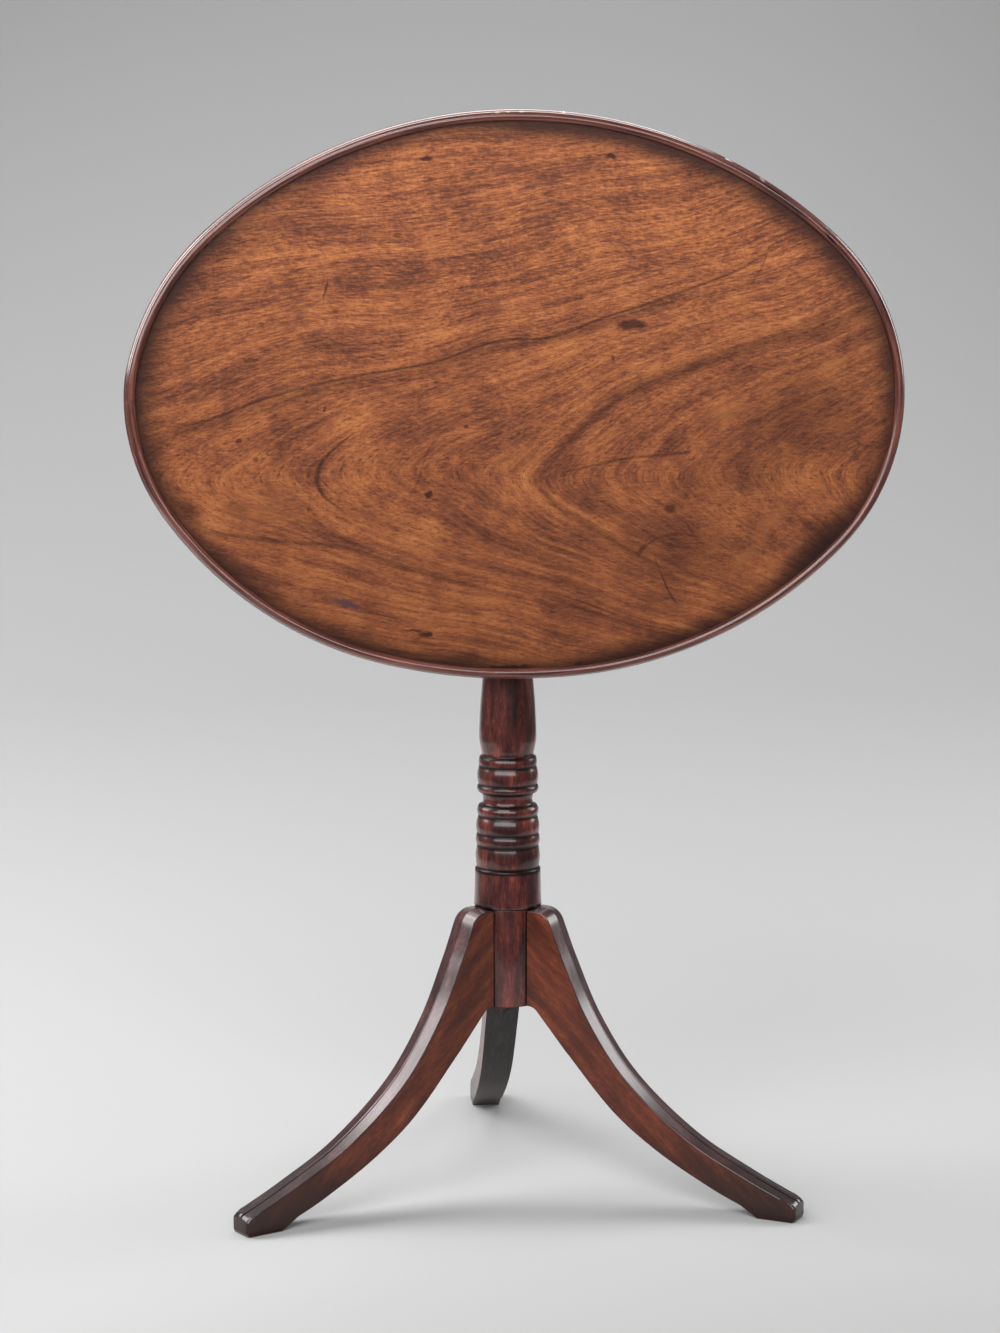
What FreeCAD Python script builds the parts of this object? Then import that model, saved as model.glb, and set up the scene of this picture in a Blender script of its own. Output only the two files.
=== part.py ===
import FreeCAD, Part
import math
import os

# A tilt-top tripod table in mahogany, with its oval top tipped up on its stop.
# Millimetres, +Z up. The origin is on the floor under the pillar's axis.
# The table is seen from -Y, and the top's face looks that way when it is tipped.

V = FreeCAD.Vector
ORIGIN = V(0, 0, 0)
X = V(1, 0, 0)
Y = V(0, 1, 0)
Z = V(0, 0, 1)

# What a piece is left long by where it is cut off flush
overrun = 1.0

# Heights
pivot_height = 691.0
hub_bottom = 181.0
hub_height = 96.0

# Oval top: a board with a bent lip strip round it and a bead strip round that
top_length = 719.0
top_width = 521.5
board_thickness = 17.5
rim_height = 22.5
lip_width = 8.8
bead_overhang = 2.4
bead_root = 2.0
bead_height = 13.0
bead_lift = 2.0
quirk = 0.9
quirk_neck = 1.2
# Each quarter's shoulder arc: where it begins and ends, as angles on the circle that the
# oval is with its width stretched to its length, and its radius as a share of an ellipse's
oval_end_angles = [31.32, 9.51, 27.35, 35.95]
oval_side_angles = [38.85, 39.34, 72.34, 85.18]
oval_shoulder_shares = [0.7432, 1.0185, 0.9783, 0.9648]
patch_start_angle = 64.4
patch_end_angle = 84.8
strip_joint = 0.1

# Block and pivots
pillar_to_pivot = 82.0
pivot_to_board = 15.5
tilt_clearance = 0.3
block_width = 190.0
block_edge = 5.0
pintle_radius = 8.0
pintle_length = 17.0
pintle_play = 0.05
tilt_angle = 90.0

# Bearers under the board
bearer_length = 430.0
bearer_width = 24.0
bearer_depth = 31.0
bearer_end_depth = 13.0
bearer_taper = 85.0
bearer_side_play = 0.4

# Pillar
collar_radius = 32.8
hub_radius = 32.0
hub_groove = 1.0
tenon_radius = 19.0
wedge_depth = 24.0
wedge_tip = 1.5
wedge_head = 4.5
joint_play = 0.1

# Legs
foot_reach = 304.0
leg_gap = 0.3
leg_width = 33.0
foot_width = 28.0
leg_crown = 2.3
shoulder_reach = 36.9
tongue_depth = 14.0
tongue_neck = 12.0
tongue_end = 17.0
tongue_stop = 16.0
underside_turn = 34.6
underside_angle = 50.0
underside_radius = 12.0
underside_run = 45.0
foot_pad = 39.0
foot_rise = 10.5
foot_edge = 3.0
foot_height = 17.5

# Iron strap under the hub
strap_thickness = 2.0
strap_radius = 22.0
strap_width = 15.0
strap_reach = 27.0
strap_screw_reach = 17.0

# Brass catch and keeper
catch_gap = 1.2
case_length = 50.0
case_width = 30.0
case_depth = 12.0
case_floor = 2.0
case_wall = 3.0
case_flange = 9.0
bolt_width = 12.0
bolt_thickness = 6.0
bolt_length = 30.0
bolt_throw = 8.0
bolt_bevel = 4.5
bolt_play = 0.3
bolt_travel = 8.5
knob_place = 14.0
knob_radius = 6.0
knob_neck = 2.2
knob_bed = 3.0
knob_drop = 12.0
spring_radius = 2.3
spring_wire = 0.4
spring_turns = 6
keeper_thickness = 1.5
keeper_width = 36.0
keeper_height = 18.0
keeper_play = 0.6

# Slotted countersunk screws: head radius, shank radius and length under the face
bearer_screw = (4.4, 2.3, 21.0)
catch_screw = (3.0, 1.6, 11.0)
keeper_screw = (2.3, 1.2, 9.0)
strap_screw = (4.0, 2.1, 20.0)
screw_grip = 9.0
screw_slot_share = 0.22
counterbore_play = 0.4
bearer_screw_shares = (-0.88, -0.6, 0.6, 0.88)

# Turned shape of the pillar above the hub, from the collar up to the block:
# radius as a share of the collar's, height as a share of the turned length.
# One point is a straight step, two make an arc, more make one smooth curve.
turning_shares = [
    [(0.982, 0.043), (0.97, 0.0865)],
    [(0.957, 0.090), (0.912, 0.0928)],
    [(0.954, 0.1204), (0.905, 0.1467)],
    [(0.948, 0.1612), (0.905, 0.1755)],
    [(0.936, 0.1973), (0.860, 0.2194)],
    [(0.909, 0.2327), (0.848, 0.2457)],
    [(0.759, 0.2482)],
    [(0.729, 0.2620), (0.768, 0.2746)],
    [(0.848, 0.2771)],
    [(0.909, 0.2866), (0.860, 0.2959)],
    [(0.902, 0.3185), (0.841, 0.3410)],
    [(0.860, 0.3523), (0.829, 0.3636)],
    [(0.774, 0.3661)],
    [(0.765, 0.3724), (0.784, 0.3786)],
    [(0.836, 0.404), (0.844, 0.425), (0.835, 0.4475), (0.805, 0.4965), (0.765, 0.5366),
     (0.652, 0.66), (0.562, 0.785), (0.527, 0.89)],
    [(0.567, 0.892)],
    [(0.628, 0.9030), (0.549, 0.9155)],
    [(0.616, 0.9380), (0.777, 0.9606)],
    [(0.860, 0.9706), (0.823, 0.9807)],
    [(0.823, 1.0)],
]

# Ridge of a leg from the shoulder down to the foot: reach as a share of the
# foot's, height as a share of the leg's top
ridge_shares = [(0.222, 0.8335), (0.3093, 0.6305), (0.439, 0.4355), (0.643, 0.254), (0.837, 0.1445)]
shoulder_shares = [(0.1545, 0.9889), (0.1763, 0.9593)]
# Underside of a leg from the end of its straight run down to the heel
underside_shares = [(0.391, 0.3115), (0.5455, 0.188), (0.724, 0.0838)]
heel_share = 0.821

# Places that follow
board_bottom = pivot_height + pivot_to_board
block_half = pivot_to_board - tilt_clearance
block_top = pivot_height + block_half
block_bottom = pivot_height - block_half
block_reach = pillar_to_pivot + block_half
collar_bottom = hub_bottom + hub_height
leg_top = collar_bottom - leg_gap
turned_length = block_bottom - collar_bottom
seat_reach = math.sqrt(hub_radius ** 2 - (leg_width / 2) ** 2)
pivot = V(0, -pillar_to_pivot, pivot_height)
bearer_inner = block_width / 2 + bearer_side_play
rim_width = lip_width + bead_overhang
catch_front = block_reach + catch_gap
bolt_top = board_bottom - case_floor - bolt_play
bolt_bottom = bolt_top - bolt_thickness
leg_angles = {"leg_back": 90.0, "leg_left": 210.0, "leg_right": 330.0}


# Helpers

def outline(place, start, *steps):
    """A wire from start: a step of one point is a line, of two an arc, of more a curve."""
    edges = []
    here = place(*start)
    for step in steps:
        points = [place(*point) for point in step]
        if len(points) == 1:
            curve = Part.LineSegment(here, points[0])
        elif len(points) == 2:
            curve = Part.Arc(here, points[0], points[1])
        else:
            curve = Part.BSplineCurve()
            curve.interpolate([here] + points)
        edges.append(curve.toShape())
        here = points[-1]
    return Part.Wire(edges)


def closed(place, start, *steps):
    return outline(place, start, *steps, [start])


def box(low, high):
    size = high - low
    return Part.makeBox(size.x, size.y, size.z, low)


def rod(radius, start, end):
    way = end - start
    return Part.makeCylinder(radius, way.Length, start, way)


def fused(shapes):
    return shapes[0].fuse(shapes[1:]).removeSplitter()


def turned_to(shape, azimuth):
    """A copy of a shape built along +X, turned about the pillar's axis."""
    copy = shape.copy()
    copy.rotate(ORIGIN, Z, azimuth)
    return copy


def screw_body(kind, seat, inward):
    """A countersunk screw without its slot, its head's face at seat."""
    head, shank, length = kind
    throat = seat + inward * (head - shank)
    cone = Part.makeCone(head, shank, head - shank, seat, inward)
    return fused([cone, rod(shank, throat, seat + inward * length)])


def slotted_screw(kind, seat, inward, across):
    """The screw itself, with its slot cut along across."""
    head, shank, length = kind
    slot = Part.makeBox(head * 2, head * screw_slot_share, head - shank)
    slot.translate(V(-head, -head * screw_slot_share / 2, -(head - shank) / 2))
    turn = FreeCAD.Rotation(across, inward.cross(across), inward, "XZY")
    slot.Placement = FreeCAD.Placement(seat, turn).multiply(slot.Placement)
    return screw_body(kind, seat, inward).cut(slot)


# The oval, set out by hand, so each quarter has its own arcs, which meet in line

def oval_quarter(quarter):
    """Centre, radius, start angle and end angle of a quarter's arcs at the end, the shoulder
    and the side, as if it lay at the right of the back."""
    half_length = top_length / 2
    half_width = top_width / 2
    on_circle = [math.radians(oval_end_angles[quarter]), math.radians(oval_side_angles[quarter])]
    middle = sum(on_circle) / 2
    reach = math.hypot(half_length * math.sin(middle), half_width * math.cos(middle))
    shoulder_radius = reach ** 3 / (half_length * half_width) * oval_shoulder_shares[quarter]
    end_turn, side_turn = [math.atan(math.tan(a) * half_length / half_width) for a in on_circle]
    cos_end, sin_end = math.cos(end_turn), math.sin(end_turn)
    cos_side, sin_side = math.cos(side_turn), math.sin(side_turn)
    along = half_length - shoulder_radius * (cos_end - cos_side)
    across = half_width + shoulder_radius * (sin_end - sin_side)
    spread = (1 - cos_end) * (1 - sin_side) - cos_side * sin_end
    end_radius = (along * (1 - sin_side) - across * cos_side) / spread
    side_radius = (across * (1 - cos_end) - along * sin_end) / spread
    shoulder = (half_length - end_radius + (end_radius - shoulder_radius) * cos_end,
                (end_radius - shoulder_radius) * sin_end)
    end_angle, side_angle = math.degrees(end_turn), math.degrees(side_turn)
    return [((half_length - end_radius, 0), end_radius, 0, end_angle),
            (shoulder, shoulder_radius, end_angle, side_angle),
            ((0, half_width - side_radius), side_radius, side_angle, 90)]


def oval_arcs():
    """Centre, radius, start angle and end angle of each arc, anticlockwise from the right."""
    arcs = []
    for quarter, (right, up) in enumerate([(1, 1), (-1, 1), (-1, -1), (1, -1)]):
        first = 90 * quarter
        ahead = right == up
        for (x, y), radius, start, end in oval_quarter(quarter)[::1 if ahead else -1]:
            begin, finish = (start, end) if ahead else (90 - end, 90 - start)
            arcs.append((V(right * x, up * y, 0), radius, first + begin, first + finish))
    return arcs


def oval_face(inset, level):
    edges = []
    for centre, radius, start, end in oval_arcs():
        ring = Part.Circle(centre + Z * level, Z, radius - inset)
        edges.append(Part.Arc(ring, math.radians(start), math.radians(end)).toShape())
    return Part.Face(Part.Wire(edges))


def rim_strip(section, start_angle, end_angle):
    """A section of (distance in from the outer oval, height over the board's underside),
    carried along the oval between two angles."""
    lengths = []
    for turn in (0, 360):
        for centre, radius, start, end in oval_arcs():
            begin = max(start + turn, start_angle)
            finish = min(end + turn, end_angle)
            if finish - begin <= 0:
                continue
            out = V(math.cos(math.radians(begin)), math.sin(math.radians(begin)), 0)

            def place(inset, height):
                return centre + out * (radius - inset) + Z * (board_bottom + height)

            face = Part.Face(closed(place, *section))
            lengths.append(face.revolve(centre, Z, finish - begin))
    return fused(lengths)


# Top, built level over the pillar and tipped at the end

def make_board():
    holes = [screw_body(catch_screw, seat, Z) for seat in catch_screw_seats()]
    for side in (-1, 1):
        holes += [screw_body(bearer_screw, seat, Z) for seat in bearer_screw_seats(side)]
    return oval_face(rim_width, board_bottom).extrude(Z * board_thickness).cut(holes)


def lip_section():
    """Inner face, half-round crest, and the rebate that the bead strip lies in."""
    crest_radius = lip_width / 2
    crest_low = rim_height - crest_radius
    rebate = bead_overhang + bead_root
    rebate_top = bead_lift + bead_height + quirk
    return [(rim_width, 0),
            [(rebate, 0)],
            [(rebate, rebate_top)],
            [(bead_overhang + quirk_neck, rebate_top)],
            [(bead_overhang, rebate_top + quirk_neck)],
            [(bead_overhang, crest_low)],
            [(bead_overhang + crest_radius, rim_height), (rim_width, crest_low)]]


def bead_section():
    """A flat back and a rounded front that stands out past the lip."""
    back = bead_overhang + bead_root
    middle = bead_lift + bead_height / 2
    return [(back, bead_lift),
            [(bead_overhang, bead_lift)],
            [(0, middle), (bead_overhang, bead_lift + bead_height)],
            [(back, bead_lift + bead_height)]]


def make_lip():
    return rim_strip(lip_section(), 0, 360)


def make_beads():
    """The long strip and the short let-in length at the upper right."""
    joint_angle = math.degrees(strip_joint / top_width)
    patch = rim_strip(bead_section(), patch_start_angle, patch_end_angle)
    long_strip = rim_strip(bead_section(), patch_end_angle + joint_angle,
                           patch_start_angle + 360 - joint_angle)
    return long_strip, patch


def bearer_outline(x):
    """Side view of a bearer: straight in the middle, thinner towards its ends."""
    half = bearer_length / 2
    straight = half - bearer_taper

    def place(y, down):
        return V(x, y, board_bottom - down)

    return closed(place, (-half, 0), [(half, 0)], [(half, bearer_end_depth)],
                  [(straight, bearer_depth)], [(-straight, bearer_depth)],
                  [(-half, bearer_end_depth)])


def bearer_screw_seats(side):
    x = side * (bearer_inner + bearer_width / 2)
    seats = []
    for share in bearer_screw_shares:
        seats.append(V(x, share * bearer_length / 2, board_bottom - screw_grip))
    return seats


def make_bearer(side):
    low_x = min(side * bearer_inner, side * (bearer_inner + bearer_width))
    bearer = Part.Face(bearer_outline(low_x)).extrude(X * bearer_width)
    mouth = V(side * bearer_inner, pivot.y, pivot.z)
    hole = rod(pintle_radius + pintle_play, mouth,
               mouth + X * side * (pintle_length + tilt_clearance))
    bearer = bearer.cut(hole)
    bore_radius = bearer_screw[0] + counterbore_play
    for seat in bearer_screw_seats(side):
        bore = rod(bore_radius, seat, seat - Z * bearer_depth)
        bearer = bearer.cut([bore, screw_body(bearer_screw, seat, Z)])
    return bearer


def make_bearer_screws():
    screws = []
    for side in (-1, 1):
        for seat in bearer_screw_seats(side):
            screws.append(slotted_screw(bearer_screw, seat, Z, Y))
    return screws


# Block, which the pillar carries and the bearers turn on

def make_block():
    half_width = block_width / 2

    def place(y, z):
        return V(-half_width, y, pivot_height + z)

    corner = block_half * math.sqrt(0.5)
    side_view = closed(place, (block_reach, block_half),
                       [(-pillar_to_pivot, block_half)],
                       [(-pillar_to_pivot - corner, corner), (-block_reach, 0)],
                       [(-block_reach, block_edge - block_half)],
                       [(block_edge - block_reach, -block_half)],
                       [(block_reach - block_edge, -block_half)],
                       [(block_reach, block_edge - block_half)])
    block = Part.Face(side_view).extrude(X * block_width)
    pintle_tip = half_width + pintle_length
    pintles = rod(pintle_radius, V(-pintle_tip, pivot.y, pivot.z), V(pintle_tip, pivot.y, pivot.z))
    tenon_hole = rod(tenon_radius, Z * block_bottom, Z * block_top)
    cuts = [tenon_hole, keeper_plate(), bolt_pocket()]
    cuts += [screw_body(keeper_screw, seat, -Y) for seat in keeper_screw_seats()]
    return fused([block, pintles]).cut(cuts)


# Pillar and its tenon

def make_wedge_blank():
    bottom = block_top - wedge_depth

    def place(y, z):
        return V(-tenon_radius, y, z)

    section = closed(place, (-wedge_tip / 2, bottom), [(wedge_tip / 2, bottom)],
                     [(wedge_head / 2, block_top)], [(-wedge_head / 2, block_top)])
    return Part.Face(section).extrude(X * tenon_radius * 2)


def make_wedge():
    return make_wedge_blank().common(rod(tenon_radius, Z * block_bottom, Z * block_top))


def make_pillar():
    def place(radius_share, height_share):
        return V(collar_radius * radius_share, 0, collar_bottom + turned_length * height_share)

    groove = hub_groove / turned_length
    hub_share = hub_radius / collar_radius
    neck_share = (hub_radius - hub_groove) / collar_radius
    floor_share = -hub_height / turned_length
    tenon_share = tenon_radius / collar_radius
    tenon_top = (block_top - collar_bottom) / turned_length
    profile = closed(place, (0, floor_share), [(hub_share, floor_share)], [(hub_share, -groove)],
                     [(neck_share, 0)], [(1, 0)], *turning_shares,
                     [(tenon_share, 1)], [(tenon_share, tenon_top)], [(0, tenon_top)])
    pillar = Part.Face(profile).revolve(ORIGIN, Z, 360)
    cuts = [make_wedge_blank()]
    for azimuth in leg_angles.values():
        cuts.append(turned_to(leg_seat(), azimuth))
        cuts.append(turned_to(tongue(joint_play), azimuth))
    for centre_screw in strap_screw_places()[:1]:
        cuts.append(screw_body(strap_screw, *centre_screw))
    return pillar.cut(cuts)


def leg_seat():
    """What is planed off the round hub to give a leg's shoulder a flat."""
    half = leg_width / 2
    return box(V(seat_reach, -half, hub_bottom), V(hub_radius, half, collar_bottom))


def tongue(play):
    """A leg's dovetail tongue, or with some play its socket in the hub."""
    neck = tongue_neck / 2 + play
    end = tongue_end / 2 + play
    inner = seat_reach - tongue_depth - play

    def place(reach, across):
        return V(reach, across, hub_bottom)

    section = closed(place, (seat_reach, -neck), [(seat_reach, neck)], [(inner, end)], [(inner, -end)])
    return Part.Face(section).extrude(Z * (hub_height - tongue_stop + play))


# Legs

def underside_points(below):
    """The turn from the hub's level underside into a leg's slope, below by a thickness."""
    slope = math.radians(underside_angle)
    radius = underside_radius - below
    level = hub_bottom - below
    corner = underside_turn - below * math.tan(slope / 2)
    tangent = radius * math.tan(slope / 2)
    turn_start = (corner - tangent, level)
    turn_end = (corner + tangent * math.cos(slope), level - tangent * math.sin(slope))
    turn_middle = (corner - tangent + radius * math.sin(slope / 2),
                   level - radius * (1 - math.cos(slope / 2)))
    return turn_start, turn_middle, turn_end


def down_slope(point, run):
    slope = math.radians(underside_angle)
    return (point[0] + run * math.cos(slope), point[1] - run * math.sin(slope))


def leg_wire(side):
    """A leg's side view on its ridge (side 0) or along one of its two top arrises,
    with its foot left long by the overrun."""
    drop = leg_crown * abs(side)
    taper = (leg_width - foot_width) / 2 / (foot_reach - seat_reach)
    turn_start, turn_middle, turn_end = underside_points(0)
    slope_end = down_slope(turn_end, underside_run)

    def place(reach, height):
        half = leg_width / 2 - taper * (reach - seat_reach)
        return V(reach, side * half, height)

    def shared(shares, lowered):
        return [(reach * foot_reach - lowered, height * leg_top - lowered) for reach, height in shares]

    inset = drop * math.sqrt(0.5)
    top = leg_top - inset
    pad_start = foot_reach - foot_pad
    heel = (heel_share * foot_reach, foot_rise)
    foot_top = foot_height + leg_crown - drop
    ridge = shared(ridge_shares, inset)
    ridge_top = shared(shoulder_shares, inset)
    foot_end = foot_reach - foot_edge
    upper = list(reversed(ridge_top[1:] + ridge))
    return closed(place, (seat_reach, hub_bottom),
                  [turn_start], [turn_middle, turn_end], [slope_end],
                  shared(underside_shares, 0) + [heel],
                  [(pad_start, -overrun)], [(foot_end, -overrun)], [(foot_reach, foot_edge)],
                  [(foot_reach, foot_top - foot_edge)], [(foot_end, foot_top)],
                  upper, [ridge_top[0], (shoulder_reach - inset, top)], [(seat_reach, top)])


def make_leg():
    blank = Part.makeLoft([leg_wire(-1), leg_wire(0), leg_wire(1)], True, True)
    under_floor = box(V(0, -leg_width / 2, -2 * overrun), V(foot_reach, leg_width / 2, 0))
    leg = blank.fuse(tongue(0)).removeSplitter().cut(under_floor)
    for leg_screw in strap_screw_places()[1:]:
        leg = leg.cut(screw_body(strap_screw, *leg_screw))
    return leg


# Iron strap

def strap_screw_places():
    """Seat and direction of the screw in the middle, then of the one in an arm along +X."""
    slope = math.radians(underside_angle)
    seat = down_slope(underside_points(strap_thickness)[-1], strap_screw_reach)
    inward = V(math.sin(slope), 0, math.cos(slope))
    return [(Z * (hub_bottom - strap_thickness), Z), (V(seat[0], 0, seat[1]), inward)]


def make_strap():
    half = strap_width / 2
    upper_start, upper_middle, upper_end = underside_points(0)
    lower_start, lower_middle, lower_end = underside_points(strap_thickness)
    upper_tip = down_slope(upper_end, strap_reach)
    lower_tip = down_slope(lower_end, strap_reach)

    def place(reach, height):
        return V(reach, -half, height)

    arm_view = closed(place, (0, hub_bottom), [upper_start], [upper_middle, upper_end], [upper_tip],
                      [lower_tip], [lower_end], [lower_middle, lower_start],
                      [(0, hub_bottom - strap_thickness)])
    arm = Part.Face(arm_view).extrude(Y * strap_width)
    centre_screw, arm_screw = strap_screw_places()
    arm = arm.cut(screw_body(strap_screw, *arm_screw))
    disc = rod(strap_radius, Z * (hub_bottom - strap_thickness), Z * hub_bottom)
    arms = [turned_to(arm, azimuth) for azimuth in leg_angles.values()]
    return fused([disc] + arms).cut(screw_body(strap_screw, *centre_screw))


def make_strap_screws():
    centre_screw, arm_screw = strap_screw_places()
    screws = [slotted_screw(strap_screw, *centre_screw, X)]
    for azimuth in leg_angles.values():
        screws.append(turned_to(slotted_screw(strap_screw, *arm_screw, Y), azimuth))
    return screws


# Catch under the top's back edge, and its keeper in the block

def keeper_plate():
    half = keeper_width / 2
    return box(V(-half, block_reach - keeper_thickness, block_top - keeper_height),
               V(half, block_reach, block_top))


def bolt_pocket():
    """The room that the bolt's nose needs in the keeper and in the block behind it."""
    half = bolt_width / 2 + keeper_play
    nose = catch_front - bolt_throw
    return box(V(-half, nose - keeper_play, bolt_bottom - keeper_play),
               V(half, block_reach, bolt_top + keeper_play))


def keeper_screw_seats():
    between = (keeper_width + bolt_width) / 4 + keeper_play / 2
    height = block_top - keeper_height / 2
    return [V(side * between, block_reach, height) for side in (-1, 1)]


def make_keeper():
    holes = [screw_body(keeper_screw, seat, -Y) for seat in keeper_screw_seats()]
    return keeper_plate().cut([bolt_pocket()] + holes)


def make_keeper_screws():
    return [slotted_screw(keeper_screw, seat, -Y, X) for seat in keeper_screw_seats()]


def catch_screw_seats():
    x = case_width / 2 + case_flange / 2
    ends = (case_flange, case_length - case_flange)
    seats = []
    for side in (-1, 1):
        for end in ends:
            seats.append(V(side * x, catch_front + end, board_bottom - case_floor))
    return seats


def make_case():
    """A cast box with a flange each side, a channel for the bolt and a slot for its knob."""
    half = case_width / 2
    back = catch_front + case_length
    flange = box(V(-half - case_flange, catch_front, board_bottom - case_floor),
                 V(half + case_flange, back, board_bottom))
    body = box(V(-half, catch_front, board_bottom - case_depth), V(half, back, board_bottom))
    channel_half = bolt_width / 2 + bolt_play
    channel = box(V(-channel_half, catch_front, bolt_bottom - bolt_play),
                  V(channel_half, back - case_wall, bolt_top + bolt_play))
    slot_half = knob_neck + bolt_play
    knob_y = catch_front + knob_place
    slot = box(V(-slot_half, knob_y - slot_half, board_bottom - case_depth),
               V(slot_half, knob_y + bolt_travel + slot_half, bolt_bottom))
    holes = [screw_body(catch_screw, seat, Z) for seat in catch_screw_seats()]
    return fused([flange, body]).cut([channel, slot] + holes)


def make_catch_screws():
    return [slotted_screw(catch_screw, seat, Z, X) for seat in catch_screw_seats()]


def make_bolt():
    """A flat bolt whose nose is bevelled below, to ride up over the keeper."""
    nose = catch_front - bolt_throw
    tail = catch_front + bolt_length
    half = bolt_width / 2

    def place(y, z):
        return V(-half, y, z)

    side_view = closed(place, (nose, bolt_top), [(tail, bolt_top)], [(tail, bolt_bottom)],
                       [(nose + bolt_bevel, bolt_bottom)], [(nose, bolt_bottom + bolt_bevel)])
    return Part.Face(side_view).extrude(X * bolt_width).cut(knob_stem())


def knob_stem():
    y = catch_front + knob_place
    return rod(knob_neck, V(0, y, bolt_bottom + knob_bed), V(0, y, board_bottom - case_depth - knob_neck))


def make_knob():
    """A turned button on a stem that is screwed into the bolt."""
    y = catch_front + knob_place
    neck_end = board_bottom - case_depth - knob_neck
    knob_end = board_bottom - case_depth - knob_drop

    def place(radius, z):
        return V(radius, y, z)

    shoulder = knob_radius * math.sqrt(0.5)
    middle = (neck_end + knob_end) / 2
    profile = closed(place, (0, neck_end), [(shoulder, neck_end)],
                     [(knob_radius, middle), (shoulder, knob_end)], [(0, knob_end)])
    button = Part.Face(profile).revolve(V(0, y, 0), Z, 360)
    return fused([button, knob_stem()])


def make_spring():
    """A coil between the bolt's tail and the end of its channel."""
    start = catch_front + bolt_length + spring_wire
    length = case_length - case_wall - bolt_length - 2 * spring_wire
    helix = Part.makeHelix(length / spring_turns, length, spring_radius)
    ring = Part.Circle(V(spring_radius, 0, 0), Y, spring_wire)
    coil = Part.Wire(helix).makePipeShell([Part.Wire(ring.toShape())], True, True)
    coil.rotate(ORIGIN, X, -90)
    coil.translate(V(0, start, (bolt_top + bolt_bottom) / 2))
    return coil


# All pieces, by node

def tipped(shapes):
    copies = []
    for shape in shapes:
        copy = shape.copy()
        copy.rotate(pivot, X, tilt_angle)
        copies.append(copy)
    return copies


def standing_pieces():
    pieces = {
        "pillar": [make_pillar()],
        "tenon_wedge": [make_wedge()],
        "block": [make_block()],
        "keeper_plate": [make_keeper()],
        "keeper_screws": make_keeper_screws(),
        "strap_plate": [make_strap()],
        "strap_screws": make_strap_screws(),
    }
    leg = make_leg()
    for name, azimuth in leg_angles.items():
        pieces[name] = [turned_to(leg, azimuth)]
    return pieces


def tilting_pieces():
    long_bead, bead_patch = make_beads()
    return {
        "top_board": [make_board()],
        "rim_lip": [make_lip()],
        "rim_bead_long": [long_bead],
        "rim_bead_patch": [bead_patch],
        "bearer_left": [make_bearer(-1)],
        "bearer_right": [make_bearer(1)],
        "bearer_screws": make_bearer_screws(),
        "catch_case": [make_case()],
        "catch_case_screws": make_catch_screws(),
        "catch_bolt": [make_bolt()],
        "catch_knob": [make_knob()],
        "catch_spring": [make_spring()],
    }


def main():
    os.makedirs("parts", exist_ok=True)
    pieces = standing_pieces()
    for name, shapes in tilting_pieces().items():
        pieces[name] = tipped(shapes)
    for name, shapes in pieces.items():
        whole = Part.makeCompound(shapes) if len(shapes) > 1 else shapes[0]
        whole.exportStep("parts/" + name + ".step")
        print(name, len(whole.Solids), "solids", round(whole.Volume), "mm3", whole.isValid())


main()
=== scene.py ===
# %% [markdown]
# A tilt-top tripod table of mahogany, made after the solids of its pieces.
# The solids come in as a fixed frame. Most pieces that show are then made again with
# softened arrises and a finish, in place, and ride on the body that their solid belongs to.
# Millimetres are used for the sizes here, because the table was set out in them.

# %% Load the frame
import math
import bpy
import bmesh
from mathutils import Vector, Matrix, geometry


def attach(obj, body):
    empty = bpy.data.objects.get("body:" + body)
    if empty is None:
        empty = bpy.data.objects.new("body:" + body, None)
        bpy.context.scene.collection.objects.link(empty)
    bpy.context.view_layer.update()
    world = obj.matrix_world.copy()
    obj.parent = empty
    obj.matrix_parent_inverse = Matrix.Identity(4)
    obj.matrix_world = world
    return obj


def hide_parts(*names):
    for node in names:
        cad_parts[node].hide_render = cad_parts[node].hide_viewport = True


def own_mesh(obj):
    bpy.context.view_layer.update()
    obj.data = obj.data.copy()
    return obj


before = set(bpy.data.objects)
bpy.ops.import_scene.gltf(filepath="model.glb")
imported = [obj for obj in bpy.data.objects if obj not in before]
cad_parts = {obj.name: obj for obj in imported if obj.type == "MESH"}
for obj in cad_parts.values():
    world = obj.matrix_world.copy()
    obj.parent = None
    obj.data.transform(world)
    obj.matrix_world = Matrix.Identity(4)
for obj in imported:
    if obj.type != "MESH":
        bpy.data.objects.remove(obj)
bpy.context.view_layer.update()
MM = 0.001
HAIR = MM / 100  # points closer than this are one point

# %% [markdown]
# The camera stands where the photograph was taken from: about three metres in front,
# a little to the left, at the height of the tipped top's upper half and looking down by
# eight degrees. A long lens keeps the oval as it was seen. The place and the lens were
# worked out from the three feet and from how open the turned rings look.

# %% Camera
lens = bpy.data.cameras.new("long_lens")
lens.sensor_fit = "HORIZONTAL"
lens.sensor_width = 36.0
lens.lens = 113.4
camera = bpy.data.objects.new("camera", lens)
camera.location = (-0.262, -2.989, 0.926)
camera.rotation_euler = (math.radians(82.09), 0.0, math.radians(-4.866))
bpy.context.scene.collection.objects.link(camera)
bpy.context.scene.camera = camera
print("camera at", tuple(camera.location))

# %% [markdown]
# Colours are written as sRGB hex values, as they would be picked in a paint program.
# Blender mixes light in linear values, so one function turns them. One more adds a node
# and sets it up, and one fills or links a node's inputs, so that each finish below reads as
# a short recipe. Inputs in a list are in the node's own order. For a Map Range these are
# the value, the two ends that it comes from and the two that it goes to.

# %% Colour and node helpers


def colour(code):
    """A linear colour from an sRGB hex code."""
    shares = [int(code[i:i + 2], 16) / 255 for i in (1, 3, 5)]
    linear = [s / 12.92 if s < 0.04045 else ((s + 0.055) / 1.055) ** 2.4 for s in shares]
    return tuple(linear) + (1.0,)


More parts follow.
